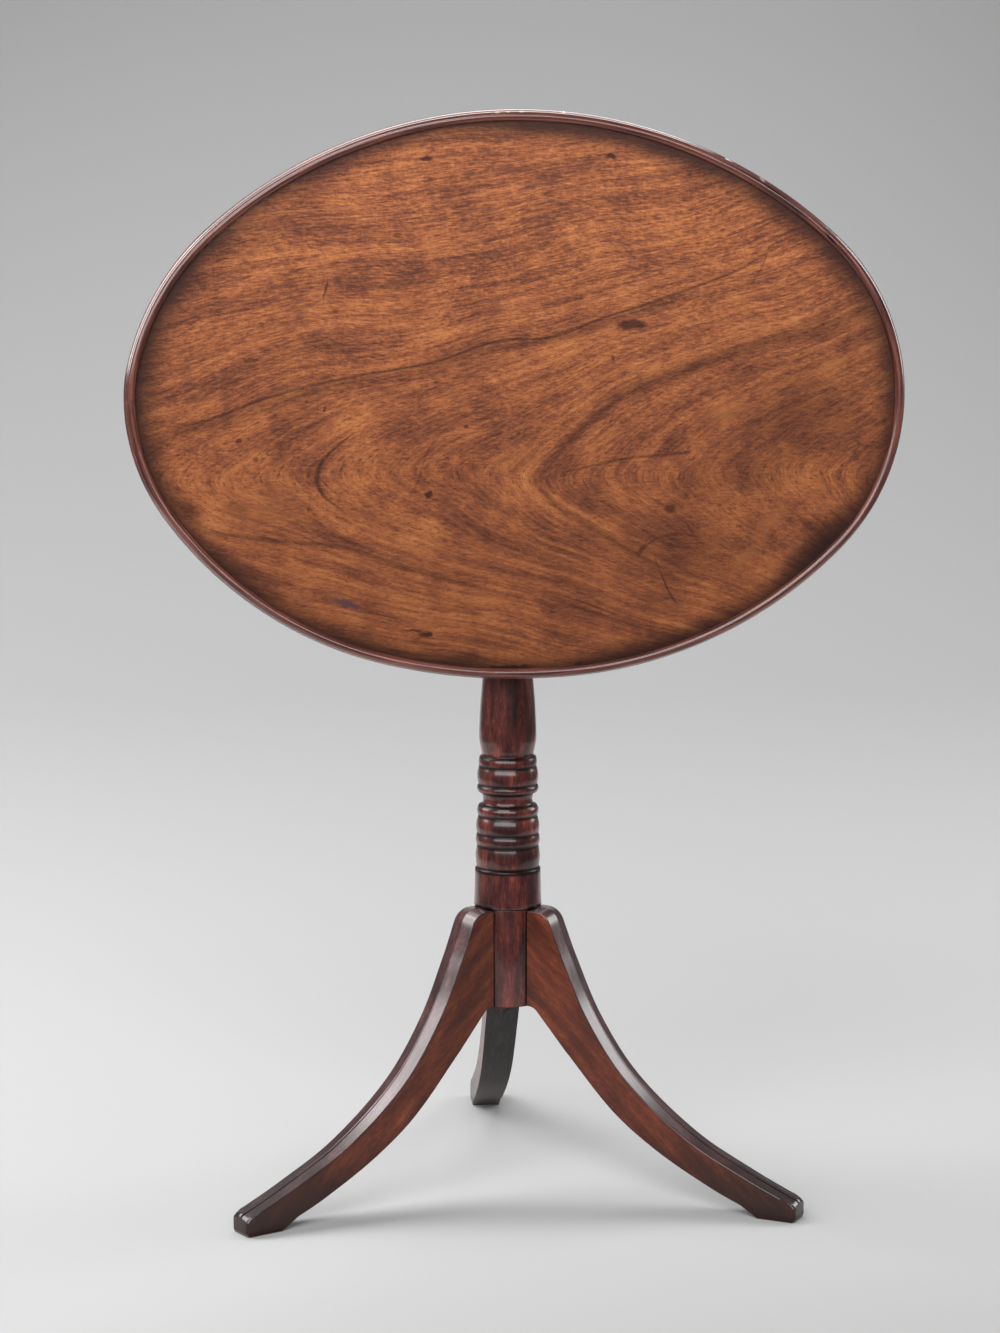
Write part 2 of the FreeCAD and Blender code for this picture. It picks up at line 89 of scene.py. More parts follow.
def feed(node, inputs):
    """Fills inputs, by name or in their own order, with values and hex colours, or links them
    where a socket or a node is given. A node stands for its first output that is in use."""
    for key, value in inputs.items() if isinstance(inputs, dict) else enumerate(inputs):
        if isinstance(value, str):
            value = colour(value)
        if isinstance(value, bpy.types.Node):
            value = next(socket for socket in value.outputs if socket.enabled)
        if isinstance(value, bpy.types.NodeSocket):
            node.id_data.links.new(value, node.inputs[key])
        else:
            node.inputs[key].default_value = value


def add(tree, kind, inputs=(), stops=(), bend=(), **settings):
    """A new node with its settings and inputs. Stops set its ramp, and bend its curve."""
    made = tree.nodes.new("ShaderNode" + kind)
    for name, value in settings.items():
        setattr(made, name, value)
    feed(made, inputs)
    for index, (place, tone) in enumerate(stops):
        elements = made.color_ramp.elements
        stop = elements[index] if index < len(elements) else elements.new(place)
        stop.position = place
        stop.color = colour(tone)
    for index, (place, level) in enumerate(bend):
        points = made.mapping.curves[0].points
        point = points[index] if index < len(points) else points.new(place, level)
        point.location = (place, level)
    return made


def finish_for(name):
    """A new material, its tree, and its Principled shader, which is all there is in it."""
    material = bpy.data.materials.new(name)
    material.use_nodes = True
    tree = material.node_tree
    return material, tree, tree.nodes["Principled BSDF"]


print("half grey is", round(colour("#808080")[0], 3), "in linear light")

# %% [markdown]
# Operators act on what is selected. By hand one would click; here one function selects all
# of the piece in work, and one the vertices, edges or faces that a rule says yes to.

# %% Selecting by place


def open_all():
    """Edit mode, with all of the active piece selected."""
    bpy.ops.object.mode_set(mode="EDIT")
    bpy.ops.mesh.select_all(action="SELECT")


def close_outward():
    """Turns all faces outward, and leaves edit mode."""
    bpy.ops.mesh.select_all(action="SELECT")
    bpy.ops.mesh.normals_make_consistent(inside=False)
    bpy.ops.object.mode_set(mode="OBJECT")


def select_where(piece, kind, chosen):
    """In edit mode, selects just the vertices, edges or faces that chosen says yes to."""
    bpy.ops.mesh.select_all(action="DESELECT")
    bpy.ops.mesh.select_mode(type=kind)
    work = bmesh.from_edit_mesh(piece.data)
    parts = {"VERT": work.verts, "EDGE": work.edges, "FACE": work.faces}[kind]
    for part in parts:
        if chosen(part):
            part.select_set(True)
    work.select_flush_mode()
    bmesh.update_edit_mesh(piece.data)


print("selecting by place ready")

# %% [markdown]
# The studio is a sheet of pale grey paper that runs over the floor and sweeps up behind
# the table. A plane with its back edge pulled up and the fold bevelled gives the sweep
# with no line at the horizon. It is as wide as a roll of studio paper, 2.72 m, and ends
# a little in front of the feet, so that polished wood mirrors the dark room around it and
# keeps its depth. The paper's colour is painted darker with height, which is painted shade
# like that of paper lit from the front and from above the table.

# %% Paper sweep
paper_width, paper_front, paper_back, paper_height, fold_reach = 2.72, -0.62, 3.5, 7.0, 2.6
bpy.ops.object.select_all(action="DESELECT")
bpy.ops.mesh.primitive_plane_add(size=1.0, location=(0.0, 0.0, 0.0))
sweep = bpy.context.active_object
sweep.name = "paper_sweep"
open_all()
bpy.ops.transform.resize(value=(paper_width, paper_back - paper_front, 1.0))
bpy.ops.transform.translate(value=(0.0, (paper_back + paper_front) / 2, 0.0))
select_where(sweep, "EDGE", lambda edge: all(v.co.y > 0 for v in edge.verts))
bpy.ops.mesh.extrude_region_move(TRANSFORM_OT_translate={"value": (0.0, 0.0, paper_height)})
select_where(sweep, "EDGE", lambda edge: all(v.co.y > 0 and v.co.z < MM for v in edge.verts))
bpy.ops.mesh.bevel(offset=fold_reach, offset_type="OFFSET", segments=24, affect="EDGES")
bpy.ops.object.mode_set(mode="OBJECT")
bpy.ops.object.shade_smooth()

paper, tree, shader = finish_for("grey_seamless_paper")
place = add(tree, "TexCoord")
height = add(tree, "SeparateXYZ", [place.outputs["Object"]])
# Painted shade: the paper's colour gets darker with height.
height_for_painted_shade = add(tree, "MapRange", [height.outputs["Z"], 0.0, 4.0])
tone = add(tree, "ValToRGB", [height_for_painted_shade],
           stops=[(0.0, "#b9b9b9"), (0.05, "#adadad"), (0.3, "#a9a9a9"), (1.0, "#969696")])
feed(shader, {"Base Color": tone, "Roughness": 1.0, "Specular IOR Level": 0.0})
sweep.data.materials.append(paper)
print("paper sweep with", len(sweep.data.polygons), "faces")

# %% [markdown]
# Five soft boxes. A long low one in front, just above the camera, makes the broad
# highlights on the turned rings and the thin bright line on the crest of the rim. One high
# in front lights the floor and the arrises. One high at each side, a little behind the
# table, gives the sheen along the upper face of each front leg. One overhead lights the
# bead along the top of the oval, and the paper behind. The dark grey of the world stands
# for the unlit room. Together they light a face at a plain level, at which a colour
# renders about as it is written.

# %% Lamps


def soft_box(name, place, aim, size, power):
    """An area lamp at a place, turned to face its aim."""
    lamp = bpy.data.lights.new(name, "AREA")
    lamp.shape = "RECTANGLE"
    lamp.size, lamp.size_y = size
    lamp.energy = power
    box = bpy.data.objects.new(name, lamp)
    box.location = place
    box.rotation_euler = (Vector(aim) - Vector(place)).to_track_quat("-Z", "Y").to_euler()
    bpy.context.scene.collection.objects.link(box)


soft_box("front_box", (-0.8, -2.8, 1.5), (0.0, 0.0, 0.6), (5.0, 1.05), 74.0)
soft_box("high_box", (-1.1, -2.6, 3.0), (0.0, 0.0, 0.5), (2.6, 1.0), 56.0)
soft_box("left_box", (-2.2, 0.6, 1.8), (0.0, 0.0, 0.4), (1.5, 1.6), 46.0)
soft_box("right_box", (2.2, 0.7, 1.5), (0.0, 0.0, 0.4), (1.0, 1.5), 26.0)
soft_box("overhead_box", (-0.5, 1.4, 3.0), (-0.1, 0.4, 0.4), (4.2, 1.4), 74.0)
world = bpy.data.worlds.new("studio")
bpy.context.scene.world = world
world.use_nodes = True
feed(world.node_tree.nodes["Background"], {"Color": "#bcbcbe", "Strength": 0.22})
bpy.context.scene.view_settings.view_transform = "Standard"
print("five soft boxes")

# %% [markdown]
# Wood is sawn, turned and planed, and its sharp corners are soon rubbed soft. So each
# piece starts as a line drawn point by point, which is what extruding one vertex does,
# and becomes a solid by a spin, a sweep or an extrusion. A narrow bevel then softens the
# arrises and puts them in the piece's second slot; on the legs that slot holds a lighter
# finish, which is partly wear and partly painted highlight.

# %% Drawing helpers


def start_vertex(name, place):
    """One vertex to draw from: a small plane, merged to its middle."""
    bpy.ops.object.select_all(action="DESELECT")
    bpy.ops.mesh.primitive_plane_add(size=MM, location=(0.0, 0.0, 0.0))
    piece = bpy.context.active_object
    piece.name = name
    piece.data.name = name
    open_all()
    bpy.ops.mesh.select_mode(type="VERT")
    bpy.ops.mesh.merge(type="CENTER")
    bpy.ops.transform.translate(value=place)
    return piece


def drawn_line(name, points):
    """A chain of edges through the points, left in edit mode with all of it selected."""
    piece = start_vertex(name, points[0])
    for here, there in zip(points, points[1:]):
        bpy.ops.mesh.extrude_region_move(TRANSFORM_OT_translate={"value": there - here})
    bpy.ops.mesh.select_all(action="SELECT")
    bpy.ops.mesh.remove_doubles(threshold=HAIR / 2)
    return piece


def softened(piece, width, limit):
    """Bevels every edge that is sharper than the limit, and shades the rest smooth. The
    bevels get the piece's second finish. The piece is the active one."""
    bevel = piece.modifiers.new("rubbed_arris", "BEVEL")
    bevel.width = width * MM
    bevel.segments = 2
    bevel.limit_method = "ANGLE"
    bevel.angle_limit = math.radians(limit)
    bevel.material = 1
    bevel.harden_normals = False
    bpy.ops.object.modifier_apply(modifier=bevel.name)
    bpy.ops.object.shade_smooth_by_angle(angle=math.radians(limit))


def only(piece):
    """Makes one piece the selected and active one, in object mode."""
    if bpy.context.object and bpy.context.object.mode != "OBJECT":
        bpy.ops.object.mode_set(mode="OBJECT")
    bpy.ops.object.select_all(action="DESELECT")
    piece.select_set(True)
    bpy.context.view_layer.objects.active = piece


def arc_through(start, middle, end, steps):
    """Points after start on the circle through three points of a plane, as (a, b) pairs."""
    (ax, ay), (bx, by), (cx, cy) = start, middle, end
    d = 2 * (ax * (by - cy) + bx * (cy - ay) + cx * (ay - by))
    a2, b2, c2 = ax * ax + ay * ay, bx * bx + by * by, cx * cx + cy * cy
    ox = (a2 * (by - cy) + b2 * (cy - ay) + c2 * (ay - by)) / d
    oy = (a2 * (cx - bx) + b2 * (ax - cx) + c2 * (bx - ax)) / d
    first = math.atan2(ay - oy, ax - ox)
    turn = (math.atan2(cy - oy, cx - ox) - first) % (2 * math.pi)
    if (math.atan2(by - oy, bx - ox) - first) % (2 * math.pi) > turn:
        turn -= 2 * math.pi
    radius = math.hypot(ax - ox, ay - oy)
    angles = [first + turn * step / steps for step in range(1, steps + 1)]
    return [(ox + radius * math.cos(a), oy + radius * math.sin(a)) for a in angles]


def curve_through(points, steps):
    """Points after the first on a smooth curve through all of them, as (a, b) pairs."""
    knots = [Vector((a, b, 0.0)) for a, b in points]
    line = []
    for index in range(len(knots) - 1):
        here, there = knots[index], knots[index + 1]
        before = knots[index - 1] if index else here * 2 - there
        after = knots[index + 2] if index + 2 < len(knots) else there * 2 - here
        third = (there - here).length / 3
        leave = here + (there - before).normalized() * third
        arrive = there - (after - here).normalized() * third
        line += geometry.interpolate_bezier(here, leave, arrive, there, steps + 1)[1:]
    return [(p.x, p.y) for p in line]


def traced(start, steps, arc_steps=8, curve_steps=5):
    """A line from start: a step of one point is straight, of two an arc, of more a curve."""
    line = [start]
    for step in steps:
        if len(step) == 1:
            line += step
        elif len(step) == 2:
            line += arc_through(line[-1], step[0], step[1], arc_steps)
        else:
            line += curve_through([line[-1]] + step, curve_steps)
    return line


print("drawing helpers ready")

# %% [markdown]
# The pillar was turned on a lathe, so its outline is drawn once, from the floor of the hub
# up to the tenon's end, and spun about the axis. One step of the outline with a single
# point is a straight fillet, two points are the arc of a bead or cove, and the long
# baluster is a smooth curve. The hub gets three flats for the legs, and the tenon its
# wedge's slot, by cutting with simple bodies, as a saw and a plane would.

# %% Pillar: outline and spin
hub_bottom, collar_bottom = 181.0, 277.0
hub_radius, hub_chamfer, collar_radius, tenon_radius = 32.0, 1.0, 32.8, 19.0
block_bottom, block_top = 675.8, 706.2
leg_width, foot_width = 33.0, 28.0
turned_length = block_bottom - collar_bottom
turning = [
    [(0.982, 0.043), (0.97, 0.0865)],
    [(0.957, 0.090), (0.912, 0.0928)],
    [(0.954, 0.1204), (0.905, 0.1467)],
    [(0.948, 0.1612), (0.905, 0.1755)],
    [(0.936, 0.1973), (0.860, 0.2194)],
    [(0.909, 0.2327), (0.848, 0.2457)],
    [(0.759, 0.2482)],
    [(0.729, 0.2620), (0.768, 0.2746)],
    [(0.848, 0.2771)],
    [(0.909, 0.2866), (0.860, 0.2959)],
    [(0.902, 0.3185), (0.841, 0.3410)],
    [(0.860, 0.3523), (0.829, 0.3636)],
    [(0.774, 0.3661)],
    [(0.765, 0.3724), (0.784, 0.3786)],
    [(0.836, 0.404), (0.844, 0.425), (0.835, 0.4475), (0.805, 0.4965), (0.765, 0.5366),
     (0.652, 0.66), (0.562, 0.785), (0.527, 0.89)],
    [(0.567, 0.892)],
    [(0.628, 0.9030), (0.549, 0.9155)],
    [(0.616, 0.9380), (0.777, 0.9606)],
    [(0.860, 0.9706), (0.823, 0.9807)],
    [(0.823, 1.0)],
]
turned = [[(r * collar_radius, collar_bottom + h * turned_length) for r, h in step]
          for step in turning]
outline = traced((0.0, hub_bottom), [[(hub_radius, hub_bottom)],
                                     [(hub_radius, collar_bottom - hub_chamfer)],
                                     [(hub_radius - hub_chamfer, collar_bottom)],
                                     [(collar_radius, collar_bottom)]]
                 + turned + [[(tenon_radius, block_bottom)],
                             [(tenon_radius, block_top)], [(0.0, block_top)]])
pillar = drawn_line("turned_pillar", [Vector((r * MM, 0.0, z * MM)) for r, z in outline])
bpy.ops.mesh.spin(steps=96, angle=2 * math.pi, center=(0.0, 0.0, 0.0), axis=(0.0, 0.0, 1.0))
bpy.ops.mesh.select_all(action="SELECT")
bpy.ops.mesh.remove_doubles(threshold=HAIR / 2)
close_outward()
print("pillar outline of", len(outline), "points, spun to", len(pillar.data.polygons), "faces")

# %% Pillar: flats for the legs and the wedge's slot


def cut_with(piece, name, size, place, turn=0.0, tip=1.0):
    """Takes a box of a size, at a place in mm and turned about the pillar, off a piece."""
    bpy.ops.object.select_all(action="DESELECT")
    bpy.ops.mesh.primitive_cube_add(size=1.0, location=(0.0, 0.0, 0.0))
    cutter = bpy.context.active_object
    cutter.name = name
    open_all()
    bpy.ops.transform.resize(value=tuple(s * MM for s in size))
    bpy.ops.transform.translate(value=tuple(p * MM for p in place))
    select_where(cutter, "FACE", lambda face: face.normal.z < -0.9)
    bpy.ops.transform.resize(value=(1.0, tip, 1.0))
    bpy.ops.object.mode_set(mode="OBJECT")
    cutter.rotation_euler.z = math.radians(turn)
    only(piece)
    cut = piece.modifiers.new(name, "BOOLEAN")
    cut.operation = "DIFFERENCE"
    cut.solver = "EXACT"
    cut.object = cutter
    bpy.ops.object.modifier_apply(modifier=name)
    bpy.data.objects.remove(cutter)


leg_angles = {"leg_back": 90.0, "leg_left": 210.0, "leg_right": 330.0}
seat_reach = math.sqrt(hub_radius ** 2 - (leg_width / 2) ** 2)
seat_play, plane_depth = 0.2, 10.0
flat_size = (plane_depth, leg_width + seat_play, collar_bottom - hub_bottom)
for angle in leg_angles.values():
    cut_with(pillar, "planed_flat", flat_size,
             (seat_reach + plane_depth / 2, 0.0, (hub_bottom + collar_bottom) / 2), turn=angle)
slot_length, slot_top, slot_tip, slot_depth, overcut = 40.0, 4.5, 1.5, 24.0, 0.01
cut_with(pillar, "wedge_slot", (slot_length, slot_top, slot_depth),
         (0.0, 0.0, block_top - slot_depth / 2 + overcut), tip=slot_tip / slot_top)
only(pillar)
softened(pillar, 0.35, limit=32.0)
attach(pillar, "stand")
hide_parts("pillar")
print("pillar has", len(pillar.data.polygons), "faces")

# %% [markdown]
# Each leg was sawn from a board to a side view, and then planed. The side view is drawn
# as a closed line and pulled out to half the leg's width. The top line of that side is
# dropped a little, which leaves the low ridge along the middle of the top, and the side is
# turned in by half a degree, so that the leg narrows to the foot. Half a leg is enough:
# a mirror makes the other half, and two turned copies make the other legs.

# %% Legs: one side view
foot_reach, leg_top = 304.0, 276.7
foot_height, crown, foot_edge, shoulder_reach = 17.5, 2.3, 3.0, 36.9
pad_length, pad_rise, toe_set_back, toe_chamfer = 38.0, 10.5, 1.3, 3.4
slope, straight_run = math.radians(50.0), 45.0
turn_corner, turn_radius = 34.6, 12.0
tangent = turn_radius * math.tan(slope / 2)
turn_start = (turn_corner - tangent, hub_bottom)
turn_middle = (turn_start[0] + turn_radius * math.sin(slope / 2),
               hub_bottom - turn_radius * (1 - math.cos(slope / 2)))
turn_end = (turn_corner + tangent * math.cos(slope), hub_bottom - tangent * math.sin(slope))
run_end = (turn_end[0] + straight_run * math.cos(slope),
           turn_end[1] - straight_run * math.sin(slope))
ridge = [(0.222, 0.8335), (0.3093, 0.6305), (0.439, 0.4355), (0.643, 0.254), (0.837, 0.1445)]
shoulder = [(0.1545, 0.9889), (0.1763, 0.9593)]
hollow = [(0.391, 0.3115), (0.5455, 0.188), (0.724, 0.0838)]
hollow_end = (0.821 * foot_reach, pad_rise)


def on_leg(shares):
    return [(reach * foot_reach, height * leg_top) for reach, height in shares]


shoulder_middle, shoulder_end = on_leg(shoulder)
foot_top = foot_height + crown
upper = list(reversed([shoulder_end] + on_leg(ridge)))
side_view = traced((seat_reach, hub_bottom),
                   [[turn_start], [turn_middle, turn_end], [run_end],
                    on_leg(hollow) + [hollow_end],
                    [(foot_reach - pad_length, 0.0)], [(foot_reach - toe_set_back, 0.0)],
                    [(foot_reach, foot_edge)], [(foot_reach, foot_top - foot_edge)],
                    [(foot_reach - foot_edge, foot_top)],
                    upper, [shoulder_middle, (shoulder_reach, leg_top)], [(seat_reach, leg_top)],
                    [(seat_reach, hub_bottom)]], arc_steps=12, curve_steps=9)
print("leg's side view of", len(side_view), "points")

# %% Legs: half a leg, its ridge and its taper
half = leg_width / 2 * MM
leg = drawn_line("leg_back_sabre", [Vector((x * MM, 0.0, z * MM)) for x, z in side_view])
bpy.ops.mesh.extrude_region_move(TRANSFORM_OT_translate={"value": (0.0, half, 0.0)})
upper_line = set((round(x * MM, 6), round(z * MM, 6)) for x, z in side_view[
    side_view.index((foot_reach, foot_top - foot_edge)):side_view.index((seat_reach, leg_top)) + 1])


def on_upper_side(vertex):
    here = (round(vertex.co.x, 6), round(vertex.co.z, 6))
    return vertex.co.y > half - HAIR and here in upper_line


inset = crown * math.sqrt(0.5) * MM
sloping_to = (foot_reach - foot_edge - 0.5) * MM
select_where(leg, "VERT", lambda v: on_upper_side(v) and v.co.x < seat_reach * MM + HAIR)
bpy.ops.transform.translate(value=(0.0, 0.0, -inset))
select_where(leg, "VERT", lambda v: on_upper_side(v)
             and seat_reach * MM + HAIR < v.co.x < sloping_to)
bpy.ops.transform.translate(value=(-inset, 0.0, -inset))
select_where(leg, "VERT", lambda v: on_upper_side(v) and v.co.x > sloping_to)
bpy.ops.transform.translate(value=(0.0, 0.0, -crown * MM))
select_where(leg, "EDGE", lambda e: all(v.co.y > half - HAIR for v in e.verts))
bpy.ops.mesh.edge_face_add()
toe_from = (foot_reach - foot_edge - 0.1) * MM
select_where(leg, "EDGE", lambda e: all(v.co.y > half - HAIR and v.co.x > toe_from
                                        for v in e.verts))
bpy.ops.mesh.bevel(offset=toe_chamfer * MM, segments=3, affect="EDGES")
bpy.ops.mesh.select_all(action="SELECT")
bpy.ops.transform.rotate(value=math.atan((leg_width - foot_width) / 2 / (foot_reach - seat_reach)),
                         orient_axis="Z", center_override=(seat_reach * MM, half, 0.0))
bpy.ops.object.mode_set(mode="OBJECT")
mirror = leg.modifiers.new("other_half", "MIRROR")
mirror.use_axis = (False, True, False)
mirror.merge_threshold = HAIR
bpy.ops.object.modifier_apply(modifier=mirror.name)
open_all()
close_outward()
low_y = min(v.co.y for v in leg.data.vertices) / MM
print("leg is", round(-low_y * 2, 2), "mm wide and has", len(leg.data.polygons), "faces")

# %% Legs: soft arrises, three copies in place
only(leg)
softened(leg, 1.1, limit=11.0)
legs = []
for node, angle in leg_angles.items():
    copy = leg if node == "leg_back" else leg.copy()
    if copy is not leg:
        copy.data = leg.data.copy()
        bpy.context.scene.collection.objects.link(copy)
    copy.name = node + "_sabre"
    legs.append((copy, node, angle))
print("legs:", [node for _, node, _ in legs])

# %% [markdown]
# The top's rim is two bent strips round a flat board: an inner lip with a half-round crest,
# and an outer bead that lies in the lip's rebate. Their sections are drawn standing on
# the oval and carried round it. The oval was set out by hand with a trammel, in arcs that
# meet in line, and its quarters differ a little: the lower two are fuller. So each quarter
# has its own angles and radii, and each strip is a row of plain spins about the centres.

# %% Rim: the oval's arcs
top_length, top_width = 719.0, 521.5
top_middle = Vector((0.0, -97.5, 773.0))
quarters = [(1, 1, 40.0, 48.0, 0.67), (-1, 1, 13.0, 48.5, 0.77),
            (-1, -1, 35.5, 77.0, 1.125), (1, -1, 45.0, 86.5, 1.285)]


def quarter_arcs(end_angle, side_angle, share):
    """Centre, radius, first and last angle of a quarter's three arcs, as if it lay upper right."""
    cos_end, sin_end = math.cos(math.radians(end_angle)), math.sin(math.radians(end_angle))
    cos_side, sin_side = math.cos(math.radians(side_angle)), math.sin(math.radians(side_angle))
    shoulder = (top_length + top_width) / 4 * share
    along = top_length / 2 - shoulder * (cos_end - cos_side)
    across = top_width / 2 + shoulder * (sin_end - sin_side)
    spread = (1 - cos_end) * (1 - sin_side) - cos_side * sin_end
    end = (along * (1 - sin_side) - across * cos_side) / spread
    side = (across * (1 - cos_end) - along * sin_end) / spread
    return [(top_length / 2 - end, 0.0, end, 0.0, end_angle),
            (top_length / 2 - end + (end - shoulder) * cos_end, (end - shoulder) * sin_end,
             shoulder, end_angle, side_angle),
            (0.0, top_width / 2 - side, side, side_angle, 90.0)]


def oval_arcs():
    """Centre, radius, first and last angle of each arc, anticlockwise as seen from the front."""
    arcs = []
    for number, (right, up, *shape) in enumerate(quarters):
        ahead = right == up
        for x, z, radius, first, last in quarter_arcs(*shape)[::1 if ahead else -1]:
            begin, finish = (first, last) if ahead else (90.0 - last, 90.0 - first)
            arcs.append((right * x, up * z, radius, 90.0 * number + begin, 90.0 * number + finish))
    return arcs


print("oval radii", [round(arc[2]) for arc in oval_arcs()])

# %% Rim: carrying a section round


def carried_round(name, section, first, last):
    """A closed section of (inset, height) pairs in mm, spun round the oval between two angles."""
    piece, step_angle = None, 1.25
    for turn in (0, 360):
        for x, z, radius, begin, finish in oval_arcs():
            start, stop = max(begin + turn, first), min(finish + turn, last)
            if stop - start < 0.001:
                continue
            centre = (top_middle + Vector((x, 0.0, z))) * MM
            if piece is None:
                out = Vector((math.cos(math.radians(start)), 0.0, math.sin(math.radians(start))))
                points = [centre + (out * (radius - inset) - Vector((0.0, height, 0.0))) * MM
                          for inset, height in section]
                piece = drawn_line(name, points + points[:1])
            bpy.ops.mesh.spin(steps=max(1, round((stop - start) / step_angle)),
                              angle=math.radians(stop - start), center=centre,
                              axis=(0.0, 1.0, 0.0))
    bpy.ops.mesh.select_all(action="SELECT")
    bpy.ops.mesh.remove_doubles(threshold=HAIR)
    bpy.ops.mesh.fill_holes(sides=0)
    close_outward()
    return piece


lip_width, rim_height = 8.8, 22.5
overhang, root, bead_height, lift = 2.4, 2.0, 13.0, 2.0
crest = lip_width / 2
crest_low = rim_height - crest
rebate, rebate_play, lip_chamfer = overhang + root, 0.9, 1.2
bead_top = lift + bead_height
rebate_top = bead_top + rebate_play
rim_width = lip_width + overhang
lip_section = traced((rim_width, 0.0), [[(rebate, 0.0)], [(rebate, rebate_top)],
                                        [(overhang + lip_chamfer, rebate_top)],
                                        [(overhang, rebate_top + lip_chamfer)],
                                        [(overhang, crest_low)],
                                        [(overhang + crest, rim_height), (rim_width, crest_low)]],
                     arc_steps=10)
lip = carried_round("rim_lip_strip", lip_section, 0.0, 360.0)
print("lip has", len(lip.data.polygons), "faces")

# %% Rim: the outer bead in its two lengths
bead_section = traced((rebate, lift), [[(overhang, lift)],
                                       [(0.0, lift + bead_height / 2), (overhang, bead_top)],
                                       [(rebate, bead_top)]], arc_steps=9)
patch_from, patch_to, joint = 64.4, 84.8, 0.08
bead = carried_round("rim_bead_strip", bead_section, patch_to + joint, patch_from + 360 - joint)
patch = carried_round("rim_bead_let_in", bead_section, patch_from, patch_to)
for strip in (lip, bead, patch):
    only(strip)
    softened(strip, 0.3, limit=40.0)
for strip, node in ((lip, "rim_lip"), (bead, "rim_bead_long"), (patch, "rim_bead_patch")):
    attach(strip, "top")
    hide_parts(node)
print("beads have", len(bead.data.polygons), "and", len(patch.data.polygons), "faces")

# %% Legs: turned into place
for copy, node, angle in legs:
    only(copy)
    copy.rotation_euler.z = math.radians(angle)
    bpy.ops.object.transform_apply(location=False, rotation=True, scale=False)
    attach(copy, "stand")
    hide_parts(node)

# %% [markdown]
# The block, the bearers and the metal keep the shapes of their solids. A copy of a solid's
# mesh is loose triangles, so its corners are merged and its flat faces joined first. Then
# a bevel can soften its real edges, which catch the light as sawn wood and filed metal do.

# %% Block, bearers and metal with softened edges


def softened_solid(node, name, width, body):
    """A copy of a solid in its place, with its edges bevelled where a width is given."""
    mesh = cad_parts[node].data.copy()
    copy = bpy.data.objects.new(name, mesh)
    bpy.context.scene.collection.objects.link(copy)
    only(copy)
    mesh.materials.clear()
    open_all()
    bpy.ops.mesh.select_mode(type="VERT")
    bpy.ops.mesh.remove_doubles(threshold=HAIR)
    bpy.ops.mesh.dissolve_limited(angle_limit=math.radians(0.5))
    bpy.ops.object.mode_set(mode="OBJECT")
    if width:
        softened(copy, width, limit=35.0)
    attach(copy, body)
    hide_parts(node)
    return copy


block = softened_solid("block", "pivot_block", 1.1, "stand")
bearers = [softened_solid("bearer_" + side, "bearer_batten_" + side, 1.0,
                          "top") for side in ("left", "right")]
strap = softened_solid("strap_plate", "forged_strap", 0.4, "stand")
keeper = softened_solid("keeper_plate", "brass_keeper", 0.25, "stand")
case = softened_solid("catch_case", "brass_case", 0.5, "top")
bolt = softened_solid("catch_bolt", "brass_bolt", 0.3, "catch_bolt")
print("softened", [piece.name for piece in [block, strap, keeper, case, bolt] + bearers])

# %% [markdown]
# The spring of the catch is a coil of wire between the bolt's tail and the end of its
# channel. When the bolt slides back, the coil has to shorten by as much, against that end.
# Its copy gets a mesh of its own.

# %% Catch spring
coil = softened_solid("catch_spring", "coiled_spring", 0.0, "top")
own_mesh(coil)

# %% [markdown]
# Grain runs along a piece, whichever way the piece stands. So each wooden piece carries
# an attribute with its own three lengths: along the grain, across it, and deep. A finish
# that reads it needs to know nothing of how the piece is turned. An amount added to one of
# the lengths gives pieces of one shape different wood.

# %% Grain along each piece


def lay_grain(piece, rule):
    """Stores, for each corner of the mesh, where it lies along, across and deep in the wood."""
    grain = piece.data.attributes.new("grain", "FLOAT_VECTOR", "POINT")
    for vertex, value in zip(piece.data.vertices, grain.data):
        value.vector = rule(vertex.co)


def along_leg(angle):
    """Grain that slopes down to the foot, as in a leg that is sawn from a straight board."""
    turn = Matrix.Rotation(math.radians(-angle), 3, "Z")
    grain_slope = math.radians(43.0)
    way, up = math.cos(grain_slope), math.sin(grain_slope)

    def rule(co):
        here = turn @ co
        return (here.x * way - here.z * up + angle, here.x * up + here.z * way, here.y)

    return rule


def along_rim(co):
    """Grain that runs round with a bent strip: the oval is taken as a circle of 0.3 m."""
    strip_length, strip_width, strip_radius = 0.347, 0.25, 0.3
    x, z = co.x / strip_length, (co.z - top_middle.z * MM) / strip_width
    return (math.atan2(z, x) * strip_radius, math.hypot(x, z) * strip_radius, co.y)


lay_grain(pillar, lambda co: (co.z, co.x, co.y))
for copy, _, angle in legs:
    lay_grain(copy, along_leg(angle))
for strip in (lip, bead, patch):
    lay_grain(strip, along_rim)
lay_grain(block, lambda co: (co.x, co.y, co.z))
for batten in bearers:
    lay_grain(batten, lambda co: (co.z, co.x + 5.0, co.y))
print("grain laid along", 1 + len(legs) + 3 + 1 + len(bearers), "pieces")

# %% [markdown]
# Mahogany is bundles of fibre a few centimetres long, with open pores. What the eye gets is
# flecks that are long along the grain and narrow across it. Noise that is stretched by a
# fleck's length and width, in millimetres, gives that. Real pores are about 0.2 mm wide,
# which is too fine to show where the whole table is in view, so the finest flecks of each
# finish are drawn about 1 to 3 mm wide.

# %% Flecks of grain


def stretched(tree, source, size, detail, roughness):
    """Noise with its own size along each axis of its source."""
    spread = add(tree, "Mapping", {"Vector": source, "Scale": [1 / side for side in size]})
    return add(tree, "TexNoise", {"Vector": spread, "Scale": 1.0, "Detail": detail,
                                  "Roughness": roughness})


def flecks(tree, source, length, width, detail=3.0, roughness=0.55):
    """Noise drawn out along the grain, of flecks with a length and a width in mm."""
    return stretched(tree, source, (length * MM, width * MM, width * MM), detail, roughness)


print("flecks ready")
